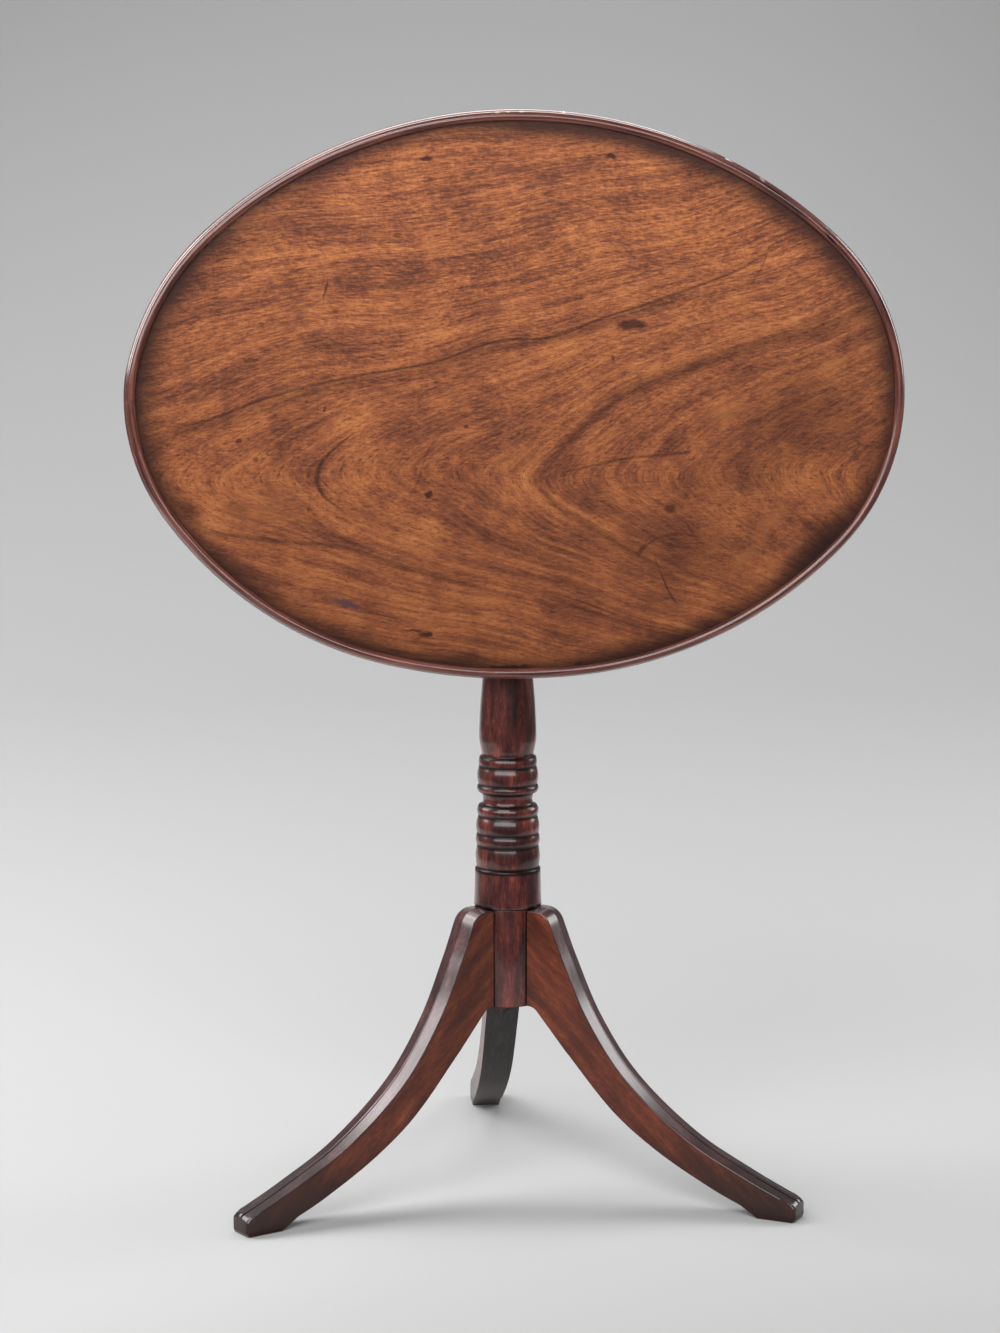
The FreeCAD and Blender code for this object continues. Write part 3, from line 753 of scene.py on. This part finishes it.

# %% [markdown]
# Polished mahogany, of the pillar and the legs: dark stained wood under shellac that was
# put on with a rubber in many thin coats. It shows a red-brown depth with lighter streaks,
# a gloss that is broken by fine scratches, and near-black dirt and painted shade in the quirks.
# The darkening is put where little light gets in, which the Ambient Occlusion node measures,
# and in bands at the quirks between the rings, and there the finish is dull as well. The toes
# are darker towards the floor. The gloss is the film's, so it is in the coat, and the wood
# under it mirrors hardly anything. The upper faces of the legs get a darker, purple copy of
# the finish, which is painted reflection of a dark room. Half of the film has worn off the
# legs' sides, so their warmer red shows.

# %% Polished mahogany


def polished_mahogany(name, stops, darkest, film_left, quirks=()):
    """Dark wood under what is left of a film of shellac, with dirt and painted shade where
    little light gets in and in quirks at the heights given in mm, and darker towards the floor."""
    material, tree, shader = finish_for(name)
    grain = add(tree, "Attribute", attribute_name="grain").outputs["Vector"]
    streaks = flecks(tree, grain, 60.0, 9.0, detail=2.0)
    fibre = flecks(tree, grain, 7.0, 1.6, detail=2.0)
    clouds = flecks(tree, grain, 48.0, 20.0, detail=4.0, roughness=0.6)
    tone = add(tree, "Mix", {0: 0.4, 2: streaks, 3: fibre}, data_type="FLOAT")
    wood = add(tree, "ValToRGB", [tone], stops=stops)
    depth = add(tree, "MapRange", [clouds, 0.36, 0.62, darkest, 1.08])
    mottled = add(tree, "Mix", {0: 1.0, 6: wood, 7: depth}, data_type="RGBA",
                 blend_type="MULTIPLY")
    # Dirt and painted shade: near-black where little light gets in, and in bands at the quirks.
    open_air = add(tree, "AmbientOcclusion", {"Distance": 0.01}, samples=8)
    dirt_and_shade = add(tree, "MapRange", [open_air.outputs["AO"], 0.5, 0.9, 1.0, 0.0])
    place = add(tree, "TexCoord")
    parts = add(tree, "SeparateXYZ", [place.outputs["Object"]])
    for height in quirks:
        away = add(tree, "Math", [parts.outputs["Z"], height * MM], operation="SUBTRACT")
        near = add(tree, "Math", [away], operation="ABSOLUTE")
        quirk_dirt_and_shade = add(tree, "MapRange", [near, 0.0026, 0.0008, 0.0, 0.95])
        dirt_and_shade = add(tree, "Math", [dirt_and_shade, quirk_dirt_and_shade], operation="MAXIMUM")
    # The toes get darker towards the floor.
    near_floor = add(tree, "MapRange", [parts.outputs["Z"], 0.09, 0.01, 0.0, 0.85])
    dirt_shade_and_low_dark = add(tree, "Math", [dirt_and_shade, near_floor], operation="MAXIMUM")
    film = add(tree, "MapRange", [dirt_and_shade, 0.0, 1.0, film_left, 0.1])
    with_dirt_and_shade = add(tree, "Mix", {0: dirt_shade_and_low_dark, 6: mottled, 7: "#140e0d"}, data_type="RGBA")
    scuffs = flecks(tree, grain, 14.0, 5.0)
    gloss = add(tree, "MapRange", [scuffs, 0.3, 0.7, 0.36, 0.5])
    bump = add(tree, "Bump", {"Height": scuffs, "Strength": 0.08, "Distance": 0.0004})
    feed(shader, {"Base Color": with_dirt_and_shade, "Roughness": gloss, "Normal": bump, "IOR": 1.5,
                  "Specular IOR Level": 0.15, "Coat Weight": film, "Coat Roughness": 0.16,
                  "Coat IOR": 1.52})
    return material


quirk_heights = [collar_bottom + share * turned_length
                 for share in (0.0865, 0.0928, 0.1467, 0.1755, 0.2194, 0.2465, 0.276,
                               0.2959, 0.341, 0.365, 0.891, 0.9155, 0.9606)]
pillar_polish = polished_mahogany(
    "french_polished_dark_mahogany", darkest=0.25, film_left=1.0, quirks=quirk_heights,
    stops=[(0.34, "#381a18"), (0.46, "#512522"), (0.56, "#6a3029"), (0.68, "#8a4539")])
leg_polish = polished_mahogany(
    "french_polished_red_mahogany", darkest=0.6, film_left=0.5,
    stops=[(0.34, "#502215"), (0.46, "#5f2a18"), (0.56, "#6e331d"), (0.68, "#864324")])
# A darker, purple copy of the polish for the legs' upper faces: painted reflection of a dark room.
upper_face_painted_reflection = polished_mahogany(
    "polish_painted_dark_reflection", darkest=0.6, film_left=1.0,
    stops=[(0.34, "#2f1718"), (0.46, "#412223"), (0.56, "#543031"), (0.68, "#6b4544")])
print("polished mahogany for the pillar, for the legs and for their upper faces")

# %% [markdown]
# The undersides of the legs were stained but never polished, so they are dull, and grey
# with dust where the leg comes down to the floor. Their near-black is partly the stain and partly
# painted shade of faces that look down.

# %% Stained underside
underside, tree, shader = finish_for("stained_mahogany_painted_shade")
grain = add(tree, "Attribute", attribute_name="grain").outputs["Vector"]
fibre = flecks(tree, grain, 30.0, 2.0)
# The near-black is partly the stain and partly painted shade of faces that look down.
wood = add(tree, "ValToRGB", [fibre],
           stops=[(0.35, "#191313"), (0.5, "#251c1b"), (0.65, "#33282a")])
place = add(tree, "TexCoord")
parts = add(tree, "SeparateXYZ", [place.outputs["Object"]])
low = add(tree, "MapRange", [parts.outputs["Z"], 0.06, 0.01, 0.0, 0.5])
dusty = add(tree, "Mix", {0: low, 6: wood, 7: "#7c7772"}, data_type="RGBA")
feed(shader, {"Base Color": dusty, "Roughness": 0.6, "IOR": 1.5})
print("stained underside with", len(tree.nodes), "nodes")

# %% [markdown]
# Hands and dusters have rubbed the arrises lighter than the faces, and shinier, because the
# wax on them is new. The pale purple-grey of this second finish on the bevels is partly that wear
# and partly painted highlight, broken up by dark nicks.

# %% Rubbed arrises
rubbed, tree, shader = finish_for("arris_wear_painted_highlight")
grain = add(tree, "Attribute", attribute_name="grain").outputs["Vector"]
wear = flecks(tree, grain, 16.0, 6.0, detail=4.0, roughness=0.7)
# The pale purple-grey is partly wear and partly painted highlight along the edges.
wood = add(tree, "ValToRGB", [wear],
           stops=[(0.36, "#241311"), (0.44, "#56342f"), (0.58, "#835c59"), (0.72, "#ad8a87")])
feed(shader, {"Base Color": wood, "Roughness": 0.3, "IOR": 1.5, "Coat Weight": 1.0,
              "Coat Roughness": 0.14})
print("rubbed arrises with", len(tree.nodes), "nodes")

# %% [markdown]
# A mark is a soft ellipse, placed in millimetres from the middle of the top. Marks that lie
# together are gathered into one value before they change a colour.

# %% Marks on the top


def millimetres(tree):
    """Where a point of the top is, in mm from the middle of the top."""
    place = add(tree, "TexCoord")
    return add(tree, "Mapping", {"Vector": place.outputs["Object"],
                                 "Location": (0.0, 0.0, -top_middle.z),
                                 "Scale": (1 / MM, 1 / MM, 1 / MM)})


def ellipse(tree, where, x_middle, z_middle, half_length, half_width, strength,
            turn=0.0, edge=0.45):
    """How strong a soft ellipse is at a point, 0 to strength."""
    through = 1000.0
    here = add(tree, "Mapping", {"Vector": where, "Location": (x_middle, 0.0, z_middle),
                                 "Rotation": (0.0, math.radians(-turn), 0.0),
                                 "Scale": (half_length, through, half_width)},
               vector_type="TEXTURE")
    flat = add(tree, "VectorMath", [here, (1.0, 0.0, 1.0)], operation="MULTIPLY")
    far = add(tree, "VectorMath", [flat], operation="LENGTH")
    return add(tree, "MapRange", [far, 1.0, edge, 0.0, strength], interpolation_type="SMOOTHSTEP")


def gathered(tree, marks):
    """The strongest of several marks."""
    total = marks[0]
    for mark in marks[1:]:
        total = add(tree, "Math", [total, mark], operation="MAXIMUM")
    return total


print("marks ready")

# %% [markdown]
# The mouldings of the rim are the same polished wood, but bent and often held, so their
# crests are worn to a warm sheen. Near-black dirt and painted shade fill the groove between
# them and the corner where the lip meets the board. Age has opened the groove along the upper
# right, broken the bead once at the top, and left drops of hide glue at the break and along the
# bottom.

# %% Moulding mahogany
moulding, tree, shader = finish_for("rubbed_moulding_mahogany")
grain = add(tree, "Attribute", attribute_name="grain").outputs["Vector"]
streaks = flecks(tree, grain, 60.0, 2.5, detail=4.0)
patches = flecks(tree, grain, 45.0, 20.0)
wood = add(tree, "ValToRGB", [streaks],
           stops=[(0.36, "#43221e"), (0.5, "#65352d"), (0.66, "#864f42")])
# Dirt and painted shade: near-black where little light gets in, in the groove and at the lip's
# foot.
open_air = add(tree, "AmbientOcclusion", {"Distance": 0.004}, samples=8)
dirt_and_shade = add(tree, "MapRange", [open_air.outputs["AO"], 0.5, 0.95, 0.9, 0.0])
with_dirt_and_shade = add(tree, "Mix", {0: dirt_and_shade, 6: wood, 7: "#170f0e"}, data_type="RGBA")
on_top = millimetres(tree)
gaps = [ellipse(tree, on_top, *mark) for mark in [
    (247.0, 176.0, 36.0, 1.7, 1.0, -37.5), (285.0, 145.0, 10.0, 1.3, 1.0, -50.0),
    (30.0, 260.5, 5.0, 2.0, 1.0), (179.0, 221.5, 1.2, 5.0, 0.8, -10.0)]]
drops = [ellipse(tree, on_top, *mark) for mark in [
    (40.0, 258.6, 3.4, 2.6, 0.9), (-20.0, 257.0, 3.0, 1.2, 0.7), (-10.0, 257.6, 2.4, 1.0, 0.7),
    (2.0, 257.8, 3.0, 1.2, 0.7), (223.0, 197.5, 4.0, 2.4, 0.7, -35.0),
    (152.0, -223.0, 4.0, 2.2, 0.6, 25.0), (193.0, -203.0, 4.0, 2.4, 0.6, 30.0)]]
opened = add(tree, "Mix", {0: gathered(tree, gaps), 6: with_dirt_and_shade, 7: "#0c0809"}, data_type="RGBA")
glued = add(tree, "Mix", {0: gathered(tree, drops), 6: opened, 7: "#c9b8a6"}, data_type="RGBA")
gloss = add(tree, "MapRange", [patches, 0.35, 0.65, 0.2, 0.4])
bump = add(tree, "Bump", {"Height": patches, "Strength": 0.1, "Distance": 0.0004})
feed(shader, {"Base Color": glued, "Roughness": gloss, "Normal": bump, "IOR": 1.5,
              "Specular IOR Level": 0.3, "Coat Weight": 1.0, "Coat Roughness": 0.16})
print("moulding mahogany with", len(tree.nodes), "nodes")

# %% [markdown]
# Under the top nobody polished anything: the mahogany of the block and the bearers is dry,
# brown-grey with age, and shows the saw and the plane.

# %% Dry mahogany


def dry_wood(tree, source):
    """Colour and height of unpolished, oxidised mahogany along a piece's grain."""
    boards = flecks(tree, source, 160.0, 9.0, detail=4.0)
    fibre = flecks(tree, source, 18.0, 0.9, detail=2.0)
    tone = add(tree, "Mix", {0: 0.4, 2: boards, 3: fibre}, data_type="FLOAT")
    wood = add(tree, "ValToRGB", [tone],
               stops=[(0.36, "#3a251a"), (0.5, "#5f4030"), (0.64, "#80604a")])
    return wood, tone


dry, tree, shader = finish_for("dry_oxidised_mahogany")
grain = add(tree, "Attribute", attribute_name="grain").outputs["Vector"]
wood, tone = dry_wood(tree, grain)
bump = add(tree, "Bump", {"Height": tone, "Strength": 0.5, "Distance": 0.0006})
feed(shader, {"Base Color": wood, "Roughness": 0.72, "Normal": bump, "IOR": 1.5})
print("dry mahogany with", len(tree.nodes), "nodes")

# %% [markdown]
# Cast brass that was last polished long ago has a patchy brown film.
# Wrought iron is dark grey with rust blooms. Both are metals, so their colour goes into
# the reflection, and roughness says how much of the film is left.

# %% Aged brass and wrought iron
brass, tree, shader = finish_for("aged_cast_brass")
place = add(tree, "TexCoord")
film = flecks(tree, place.outputs["Object"], 6.0, 6.0, detail=5.0)
tone = add(tree, "ValToRGB", [film], stops=[(0.34, "#4a3a22"), (0.5, "#86693a"), (0.68, "#b08f52")])
dull = add(tree, "MapRange", [film, 0.3, 0.7, 0.55, 0.28])
feed(shader, {"Base Color": tone, "Roughness": dull, "Metallic": 1.0})

iron, tree, shader = finish_for("rusted_wrought_iron")
place = add(tree, "TexCoord")
scale = flecks(tree, place.outputs["Object"], 4.0, 4.0, detail=5.0)
tone = add(tree, "ValToRGB", [scale],
           stops=[(0.38, "#2b2826"), (0.52, "#45403c"), (0.66, "#6b4632")])
bump = add(tree, "Bump", {"Height": scale, "Strength": 0.4, "Distance": 0.0004})
feed(shader, {"Base Color": tone, "Roughness": 0.6, "Metallic": 0.8, "Normal": bump})
print("two metals")

# %% [markdown]
# The board is one wide plank of figured mahogany, cut where a branch left the trunk, and
# that is what draws the nested flames on it. Its growth rings can be written as one value,
# which is the same all along a ring: on the flame's axis it grows to the right, and it
# falls above and below the axis, the faster the further out, so the rings open out from
# their tips into long lines that rise to the right above, and fall below. Noise that
# follows that value gives ribbons, streaks and pores that all bend with the figure.

# %% Figure: where the rings run
figured, tree, shader = finish_for("figured_crotch_mahogany")
place = add(tree, "TexCoord")
wander = add(tree, "TexNoise", {"Vector": place.outputs["Object"], "Scale": 1 / 0.14,
                                "Detail": 1.0, "Roughness": 0.4})
drift = add(tree, "VectorMath", [wander.outputs["Color"], (0.5, 0.5, 0.5)], operation="SUBTRACT")
wandered = add(tree, "VectorMath", [drift, (0.03, 0.03, 0.03), place.outputs["Object"]],
               operation="MULTIPLY_ADD")
plain_mm = millimetres(tree)
in_mm = add(tree, "Mapping", {"Vector": wandered, "Location": (0.0, 0.0, -top_middle.z),
                              "Scale": (1 / MM, 1 / MM, 1 / MM)})
nibble = add(tree, "TexNoise", {"Vector": plain_mm, "Scale": 1 / 6.0, "Detail": 2.0})
bitten = add(tree, "VectorMath", [nibble.outputs["Color"], (7.0, 0.0, 7.0), (-3.5, 0.0, -3.5)],
             operation="MULTIPLY_ADD")
frayed = add(tree, "VectorMath", [plain_mm, bitten], operation="ADD")
parts = add(tree, "SeparateXYZ", [in_mm])
x, z = parts.outputs["X"], parts.outputs["Z"]
axis_below, tip_softness, left_pull = 72.0, 14.0, -0.35
above_bend, above_rise, below_bend, below_rise = 0.0085, 0.7, 0.009, 0.75
over = add(tree, "Math", [z, axis_below], operation="ADD")
under = add(tree, "Math", [over, -1.0], operation="MULTIPLY")
above = add(tree, "Math", [over, 0.0, tip_softness], operation="SMOOTH_MAX")
below = add(tree, "Math", [under, 0.0, tip_softness], operation="SMOOTH_MAX")
above_slope = add(tree, "Math", [above, above_bend, above_rise], operation="MULTIPLY_ADD")
below_slope = add(tree, "Math", [below, below_bend, below_rise], operation="MULTIPLY_ADD")
left = add(tree, "Math", [x, 0.0], operation="MINIMUM")
run = add(tree, "Math", [left, left_pull, x], operation="MULTIPLY_ADD")
above_fall = add(tree, "Math", [above, above_slope], operation="MULTIPLY")
below_fall = add(tree, "Math", [below, below_slope], operation="MULTIPLY")
less_above = add(tree, "Math", [run, above_fall], operation="SUBTRACT")
flame = add(tree, "Math", [less_above, below_fall], operation="SUBTRACT")

# %% Figure: ribbons, streaks and flecks along the rings


def ring_noise(length, depth, detail, roughness=0.55):
    """Noise along the rings: a length in mm, and a depth in steps of the rings' value."""
    here = add(tree, "CombineXYZ", [x, flame, z])
    return stretched(tree, here, (length, depth, length), detail, roughness)


def spot(*shape):
    return ellipse(tree, frayed, *shape)


ribbons = ring_noise(170.0, 42.0, 2.0)
streaks = ring_noise(60.0, 9.0, 3.0)
flecked = stretched(tree, in_mm, (9.0, 1.0, 1.6), 2.0, 0.5)
along_rings = ring_noise(12.0, 2.8, 3.0, 0.65)
fibre = add(tree, "Mix", {0: 0.45, 2: along_rings, 3: flecked}, data_type="FLOAT")
mottle = add(tree, "TexNoise", {"Vector": in_mm, "Scale": 1 / 17.0, "Detail": 3.0})
clouds = add(tree, "TexNoise", {"Vector": in_mm, "Scale": 1 / 55.0, "Detail": 6.0,
                                "Roughness": 0.64})
speckle = add(tree, "TexNoise", {"Vector": in_mm, "Scale": 1 / 2.6, "Detail": 2.0,
                                 "Roughness": 0.6})
fine = add(tree, "Mix", {0: 0.2, 2: fibre, 3: speckle}, data_type="FLOAT")
fine_part = add(tree, "Math", [fine, 0.5], operation="SUBTRACT")
by_height = add(tree, "MapRange", [z, -150.0, 120.0, 0.6, 1.25])
calm = spot(235, -70, 190, 120, 0.2, 25, 0.2)
lively = add(tree, "Math", [by_height, calm], operation="SUBTRACT")
fine_share = add(tree, "Math", [fine_part, lively], operation="MULTIPLY")
ringed = fine_share
for layer, share in ((ribbons, 0.4), (streaks, 0.36), (mottle, 0.12), (clouds, 0.39)):
    ringed = add(tree, "Math", [layer, share, ringed], operation="MULTIPLY_ADD")
cloud_share = add(tree, "Math", [clouds, 0.65, 0.3], operation="MULTIPLY_ADD")
cloudy = add(tree, "Math", [fine_part, 0.9, cloud_share], operation="MULTIPLY_ADD")
along_crests = spot(-190, -66, 230, 44, 0.6, 0, 0.3)
knotty = add(tree, "Math", [spot(225, -90, 150, 105, 0.75, 25, 0.2), along_crests],
             operation="MAXIMUM")
tone = add(tree, "Mix", {0: knotty, 2: ringed, 3: cloudy}, data_type="FLOAT")
wood = add(tree, "ValToRGB", [tone],
           stops=[(0.46, "#5f3728"), (0.58, "#834b34"), (0.68, "#a3603c"), (0.84, "#c57e4c")])
pores = ring_noise(5.0, 2.2, 1.0)
pore = add(tree, "MapRange", [pores, 0.6, 0.72, 0.0, 0.6])
pored = add(tree, "Mix", {0: pore, 6: wood, 7: "#482418"}, data_type="RGBA")
print("figure takes", len(tree.nodes), "nodes")

# %% [markdown]
# On top of the figure the plank has its own history: one long dark ring line, the edges of
# the flame, knots, ink and burn marks. Each line is drawn as a soft-edged curve through a
# few points, in millimetres from the middle of the top, and each spot as a soft ellipse. One
# wide soft spot at the upper left is painted shadow of the lip.

# %% Figure: drawn lines and spots


def stroke(points, width, strength, upright=False):
    """How dark a drawn line makes the wood, 0 to 1. Its points run along x, or z if upright."""
    run_by, rise_by = (z, x) if upright else (x, z)
    farthest = 400.0
    first, last = points[0][0], points[-1][0]
    share = add(tree, "MapRange", [run_by, first, last])
    bend = [((a - first) / (last - first), (b + farthest) / (2 * farthest)) for a, b in points]
    line = add(tree, "FloatCurve", {"Value": share}, bend=bend)
    level = add(tree, "Math", [line, 2 * farthest, -farthest], operation="MULTIPLY_ADD")
    gap = add(tree, "Math", [rise_by, level], operation="SUBTRACT")
    near = add(tree, "Math", [gap], operation="ABSOLUTE")
    dark = add(tree, "MapRange", [near, width, width * 0.1, 0.0, strength],
               interpolation_type="SMOOTHSTEP")
    middle = add(tree, "Math", [share, 0.5], operation="SUBTRACT")
    aside = add(tree, "Math", [middle], operation="ABSOLUTE")
    within = add(tree, "MapRange", [aside, 0.5, 0.42])
    return add(tree, "Math", [dark, within], operation="MULTIPLY")


lines = [stroke(*line) for line in [
    ([(-335, -20), (-310, -20.5), (-256, -10), (-194, 4.4), (-128, 25), (-70, 37.5),
      (-28, 50), (38, 60), (79, 75), (138, 96), (175, 110), (240, 142)], 2.6, 0.65),
    ([(-340, -27), (-256, -16), (-128, 18), (-28, 44), (79, 70), (175, 104)], 9.0, 0.35),
    ([(-300, -112), (-236, -130), (-161, -139), (-95, -159), (-30, -176)], 4.0, 0.45),
    ([(20, -66), (48, -37), (71, -16), (96, 0), (158, 25), (220, 50), (310, 88)], 13.0, 0.42),
    ([(150, 22), (200, 44), (260, 62), (325, 80)], 8.0, 0.5),
    ([(26, -84), (44, -101), (71, -122), (104, -145), (150, -170)], 8.0, 0.4),
    ([(40, -66), (96, -56), (165, -46)], 2.0, 0.45),
    ([(112, -139), (129, -129), (165, -131)], 3.0, 0.55),
    ([(287, 0), (299, -29), (322, -46)], 2.0, 0.35),
    ([(-100, -95), (-88, -78), (-82, -60), (-75, -45), (-60, -30)], 4.0, 0.3),
    ([(-103, -160), (-95, -178), (-83, -188), (-70, -188), (-54, -178), (-35, -150)],
     3.5, 0.6, True),
    ([(-195, 146), (-178, 137), (-161, 129), (-148, 122)], 1.6, 0.6, True),
    ([(106, 214), (125, 225), (142, 233)], 1.3, 0.4, True),
]]
spots_and_lip_shadow = [spot(*mark) for mark in [
    (-84, 216, 8, 3.6, 0.85, 8), (83, 218, 6, 3.4, 0.85, -5), (-82, 196, 6, 2.4, 0.4),
    (-110, 147, 4, 3.4, 0.55), (-176, 98, 1.8, 11, 0.65, -14), (-167, 79, 5, 2, 0.45),
    (-234, 67, 4, 2, 0.45), (-244, 35, 9, 3, 0.6), (-177, -10, 2.6, 2.6, 0.75),
    (-256, -38, 3.4, 3.4, 0.7), (-240, -55, 3, 3, 0.5), (-49, -26, 3.2, 2.6, 0.7),
    (-83, -88, 4.6, 4.4, 0.85), (-192, -101, 2.8, 2.8, 0.6), (87, 36, 2.8, 2.8, 0.6),
    (103, 66, 19, 6.5, 0.85, 2), (-85, -217, 8, 3.4, 0.85), (-97, -214, 18, 1.6, 0.6, -6),
    (271, -120, 11, 9, 0.4), (236, -75, 5, 5, 0.35), (315, -43, 3.4, 3.4, 0.5),
    (140, -103, 7, 6, 0.7), (128, -96, 12, 2, 0.5, -28), (158, -120, 17, 2, 0.5, -48),
    (140, -135, 27, 16, 0.42, 10, 0.2), (114, -140, 11, 3.6, 0.55, 55),
    (285, 62, 34, 15, 0.4, 24, 0.1), (-302, -100, 16, 10, 0.5, -48, 0.2),
    (265, -15, 110, 70, 0.42, 30, 0.0), (215, -70, 85, 36, 0.34, 20, 0.0),
    (283, -135, 60, 28, 0.55, 45, 0.1), (160, -140, 70, 44, 0.34, 0, 0.0),
    (310, 30, 30, 70, 0.25, 0, 0.0), (-330, 0, 20, 90, 0.25, 0, 0.0),
    # Painted shadow of the lip at the upper left:
    (-240, 160, 120, 48, 0.34, 33, 0.0),
    (-8, -249, 27, 3.0, 1.0, 2), (56, -246, 4, 2.6, 0.8),
]]
glows = [spot(*mark) for mark in [
    (190, -13, 30, 13, 0.5, 30, 0.1), (236, -113, 32, 12, 0.5, 40, 0.1),
    (209, -149, 24, 10, 0.45, 35, 0.1), (289, 28, 26, 9, 0.4, 30, 0.1),
    (-235, -100, 60, 34, 0.3, 0, 0.0), (0, -55, 36, 22, 0.3, 25, 0.0)]]
darkened = add(tree, "Mix", {0: gathered(tree, lines + spots_and_lip_shadow), 6: pored, 7: "#2f1a17"},
               data_type="RGBA")
lit = add(tree, "Mix", {0: gathered(tree, glows), 6: darkened, 7: "#a9693f"}, data_type="RGBA")
bar = add(tree, "Mix", {0: spot(-159, -188, 18, 4.6, 0.7, -17), 6: lit, 7: "#4d3d45"},
          data_type="RGBA")
print("drawn marks bring it to", len(tree.nodes), "nodes")

# %% [markdown]
# A hundred wipings with a waxed cloth never reach the corner under the lip, so a dark band
# of old wax and dirt follows the rim. Along the top the band is wider, and there it is also
# painted shadow of the lip. The board's colour is also painted lighter towards its upper edge
# and darker towards its lower edge, which is painted light from above.

# %% Figure: wax and painted lip shadow in the corner, painted light on the upper half, and the dry back
field_reach, field_rise = 349.0, 250.0
# The band's middle sits 5 mm low, so the band is wider along the top: there it is also painted
# shadow of the lip.
outward = add(tree, "Mapping", {"Vector": in_mm, "Location": (0.0, 0.0, 0.02),
                                "Scale": (1 / field_reach, 0.0, 1 / field_rise)})
from_middle = add(tree, "VectorMath", [outward], operation="LENGTH")
wax_and_lip_shadow = add(tree, "MapRange", [from_middle, 0.91, 1.0, 0.0, 0.92],
              interpolation_type="SMOOTHSTEP")
with_wax_and_lip_shadow = add(tree, "Mix", {0: wax_and_lip_shadow, 6: bar, 7: "#2e1c1a"}, data_type="RGBA")
# Painted light: lighter towards the upper edge and darker towards the lower edge.
painted_light_from_above = add(tree, "MapRange", [z, -250.0, 250.0, 0.78, 1.22])
with_painted_light = add(tree, "Mix", {0: 1.0, 6: with_wax_and_lip_shadow, 7: painted_light_from_above}, data_type="RGBA", blend_type="MULTIPLY")
across = add(tree, "Mapping", {"Vector": place.outputs["Object"], "Location": (9.0, 0.0, 0.0)})
dry_back, _ = dry_wood(tree, across)
deep = add(tree, "SeparateXYZ", [place.outputs["Object"]])
back_ends, front_starts = -0.113, -0.114
front = add(tree, "MapRange", [deep.outputs["Y"], back_ends, front_starts])
both = add(tree, "Mix", {0: front, 6: dry_back, 7: with_painted_light}, data_type="RGBA")
handled = add(tree, "MapRange", [streaks, 0.3, 0.7, 0.34, 0.48])
dull = add(tree, "Mix", {0: front, 2: 0.75, 3: handled}, data_type="FLOAT")
bump = add(tree, "Bump", {"Height": fibre, "Strength": 0.12, "Distance": 0.0003})
feed(shader, {"Base Color": both, "Roughness": dull, "Normal": bump, "IOR": 1.48,
              "Specular IOR Level": 0.12})
print("figured mahogany with", len(tree.nodes), "nodes")

# %% Tenon's wedge: dry end grain
wedge_end, tree, shader = finish_for("dry_wedge_mahogany")
place = add(tree, "TexCoord")
wood, _ = dry_wood(tree, place.outputs["Object"])
feed(shader, {"Base Color": wood, "Roughness": 0.75})
print("wedge finish with", len(tree.nodes), "nodes")

# %% [markdown]
# Now each piece gets its finish. The first slot is for the piece's faces and the second for
# its softened arrises. A leg has a third slot for the faces that look down, and a fourth
# for those that look up. The solids that stay, such as the screws, get their finish in
# their own slots.

# %% Dress every piece


def dress(piece, *materials):
    piece.data.materials.clear()
    for material in materials:
        piece.data.materials.append(material)


dress(pillar, pillar_polish, pillar_polish)
down_slope, up_slope = -0.25, 0.1
for copy, _, _ in legs:
    dress(copy, leg_polish, rubbed, underside, upper_face_painted_reflection)
    only(copy)
    bpy.ops.object.mode_set(mode="EDIT")
    # Faces that look down take the near-black finish, which is partly painted shade.
    select_where(copy, "FACE", lambda face: face.normal.z < down_slope)
    copy.active_material_index = 2
    bpy.ops.object.material_slot_assign()
    # Faces that look up take the darker purple copy, which is painted reflection.
    select_where(copy, "FACE",
                 lambda face: face.normal.z > up_slope and face.material_index == 0)
    copy.active_material_index = 3
    bpy.ops.object.material_slot_assign()
    bpy.ops.object.mode_set(mode="OBJECT")
for strip in (lip, bead, patch):
    dress(strip, moulding, moulding)
for piece in [block] + bearers:
    dress(piece, dry, dry)
for piece in (strap, coil):
    dress(piece, iron, iron)
for piece in (keeper, case, bolt):
    dress(piece, brass, brass)
kept = {"top_board": figured, "tenon_wedge": wedge_end, "keeper_screws": brass,
        "catch_case_screws": brass, "catch_knob": brass, "strap_screws": iron,
        "bearer_screws": iron}
for node, material in kept.items():
    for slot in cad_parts[node].material_slots:
        slot.material = material
print("dressed", len(kept), "solids that stay")
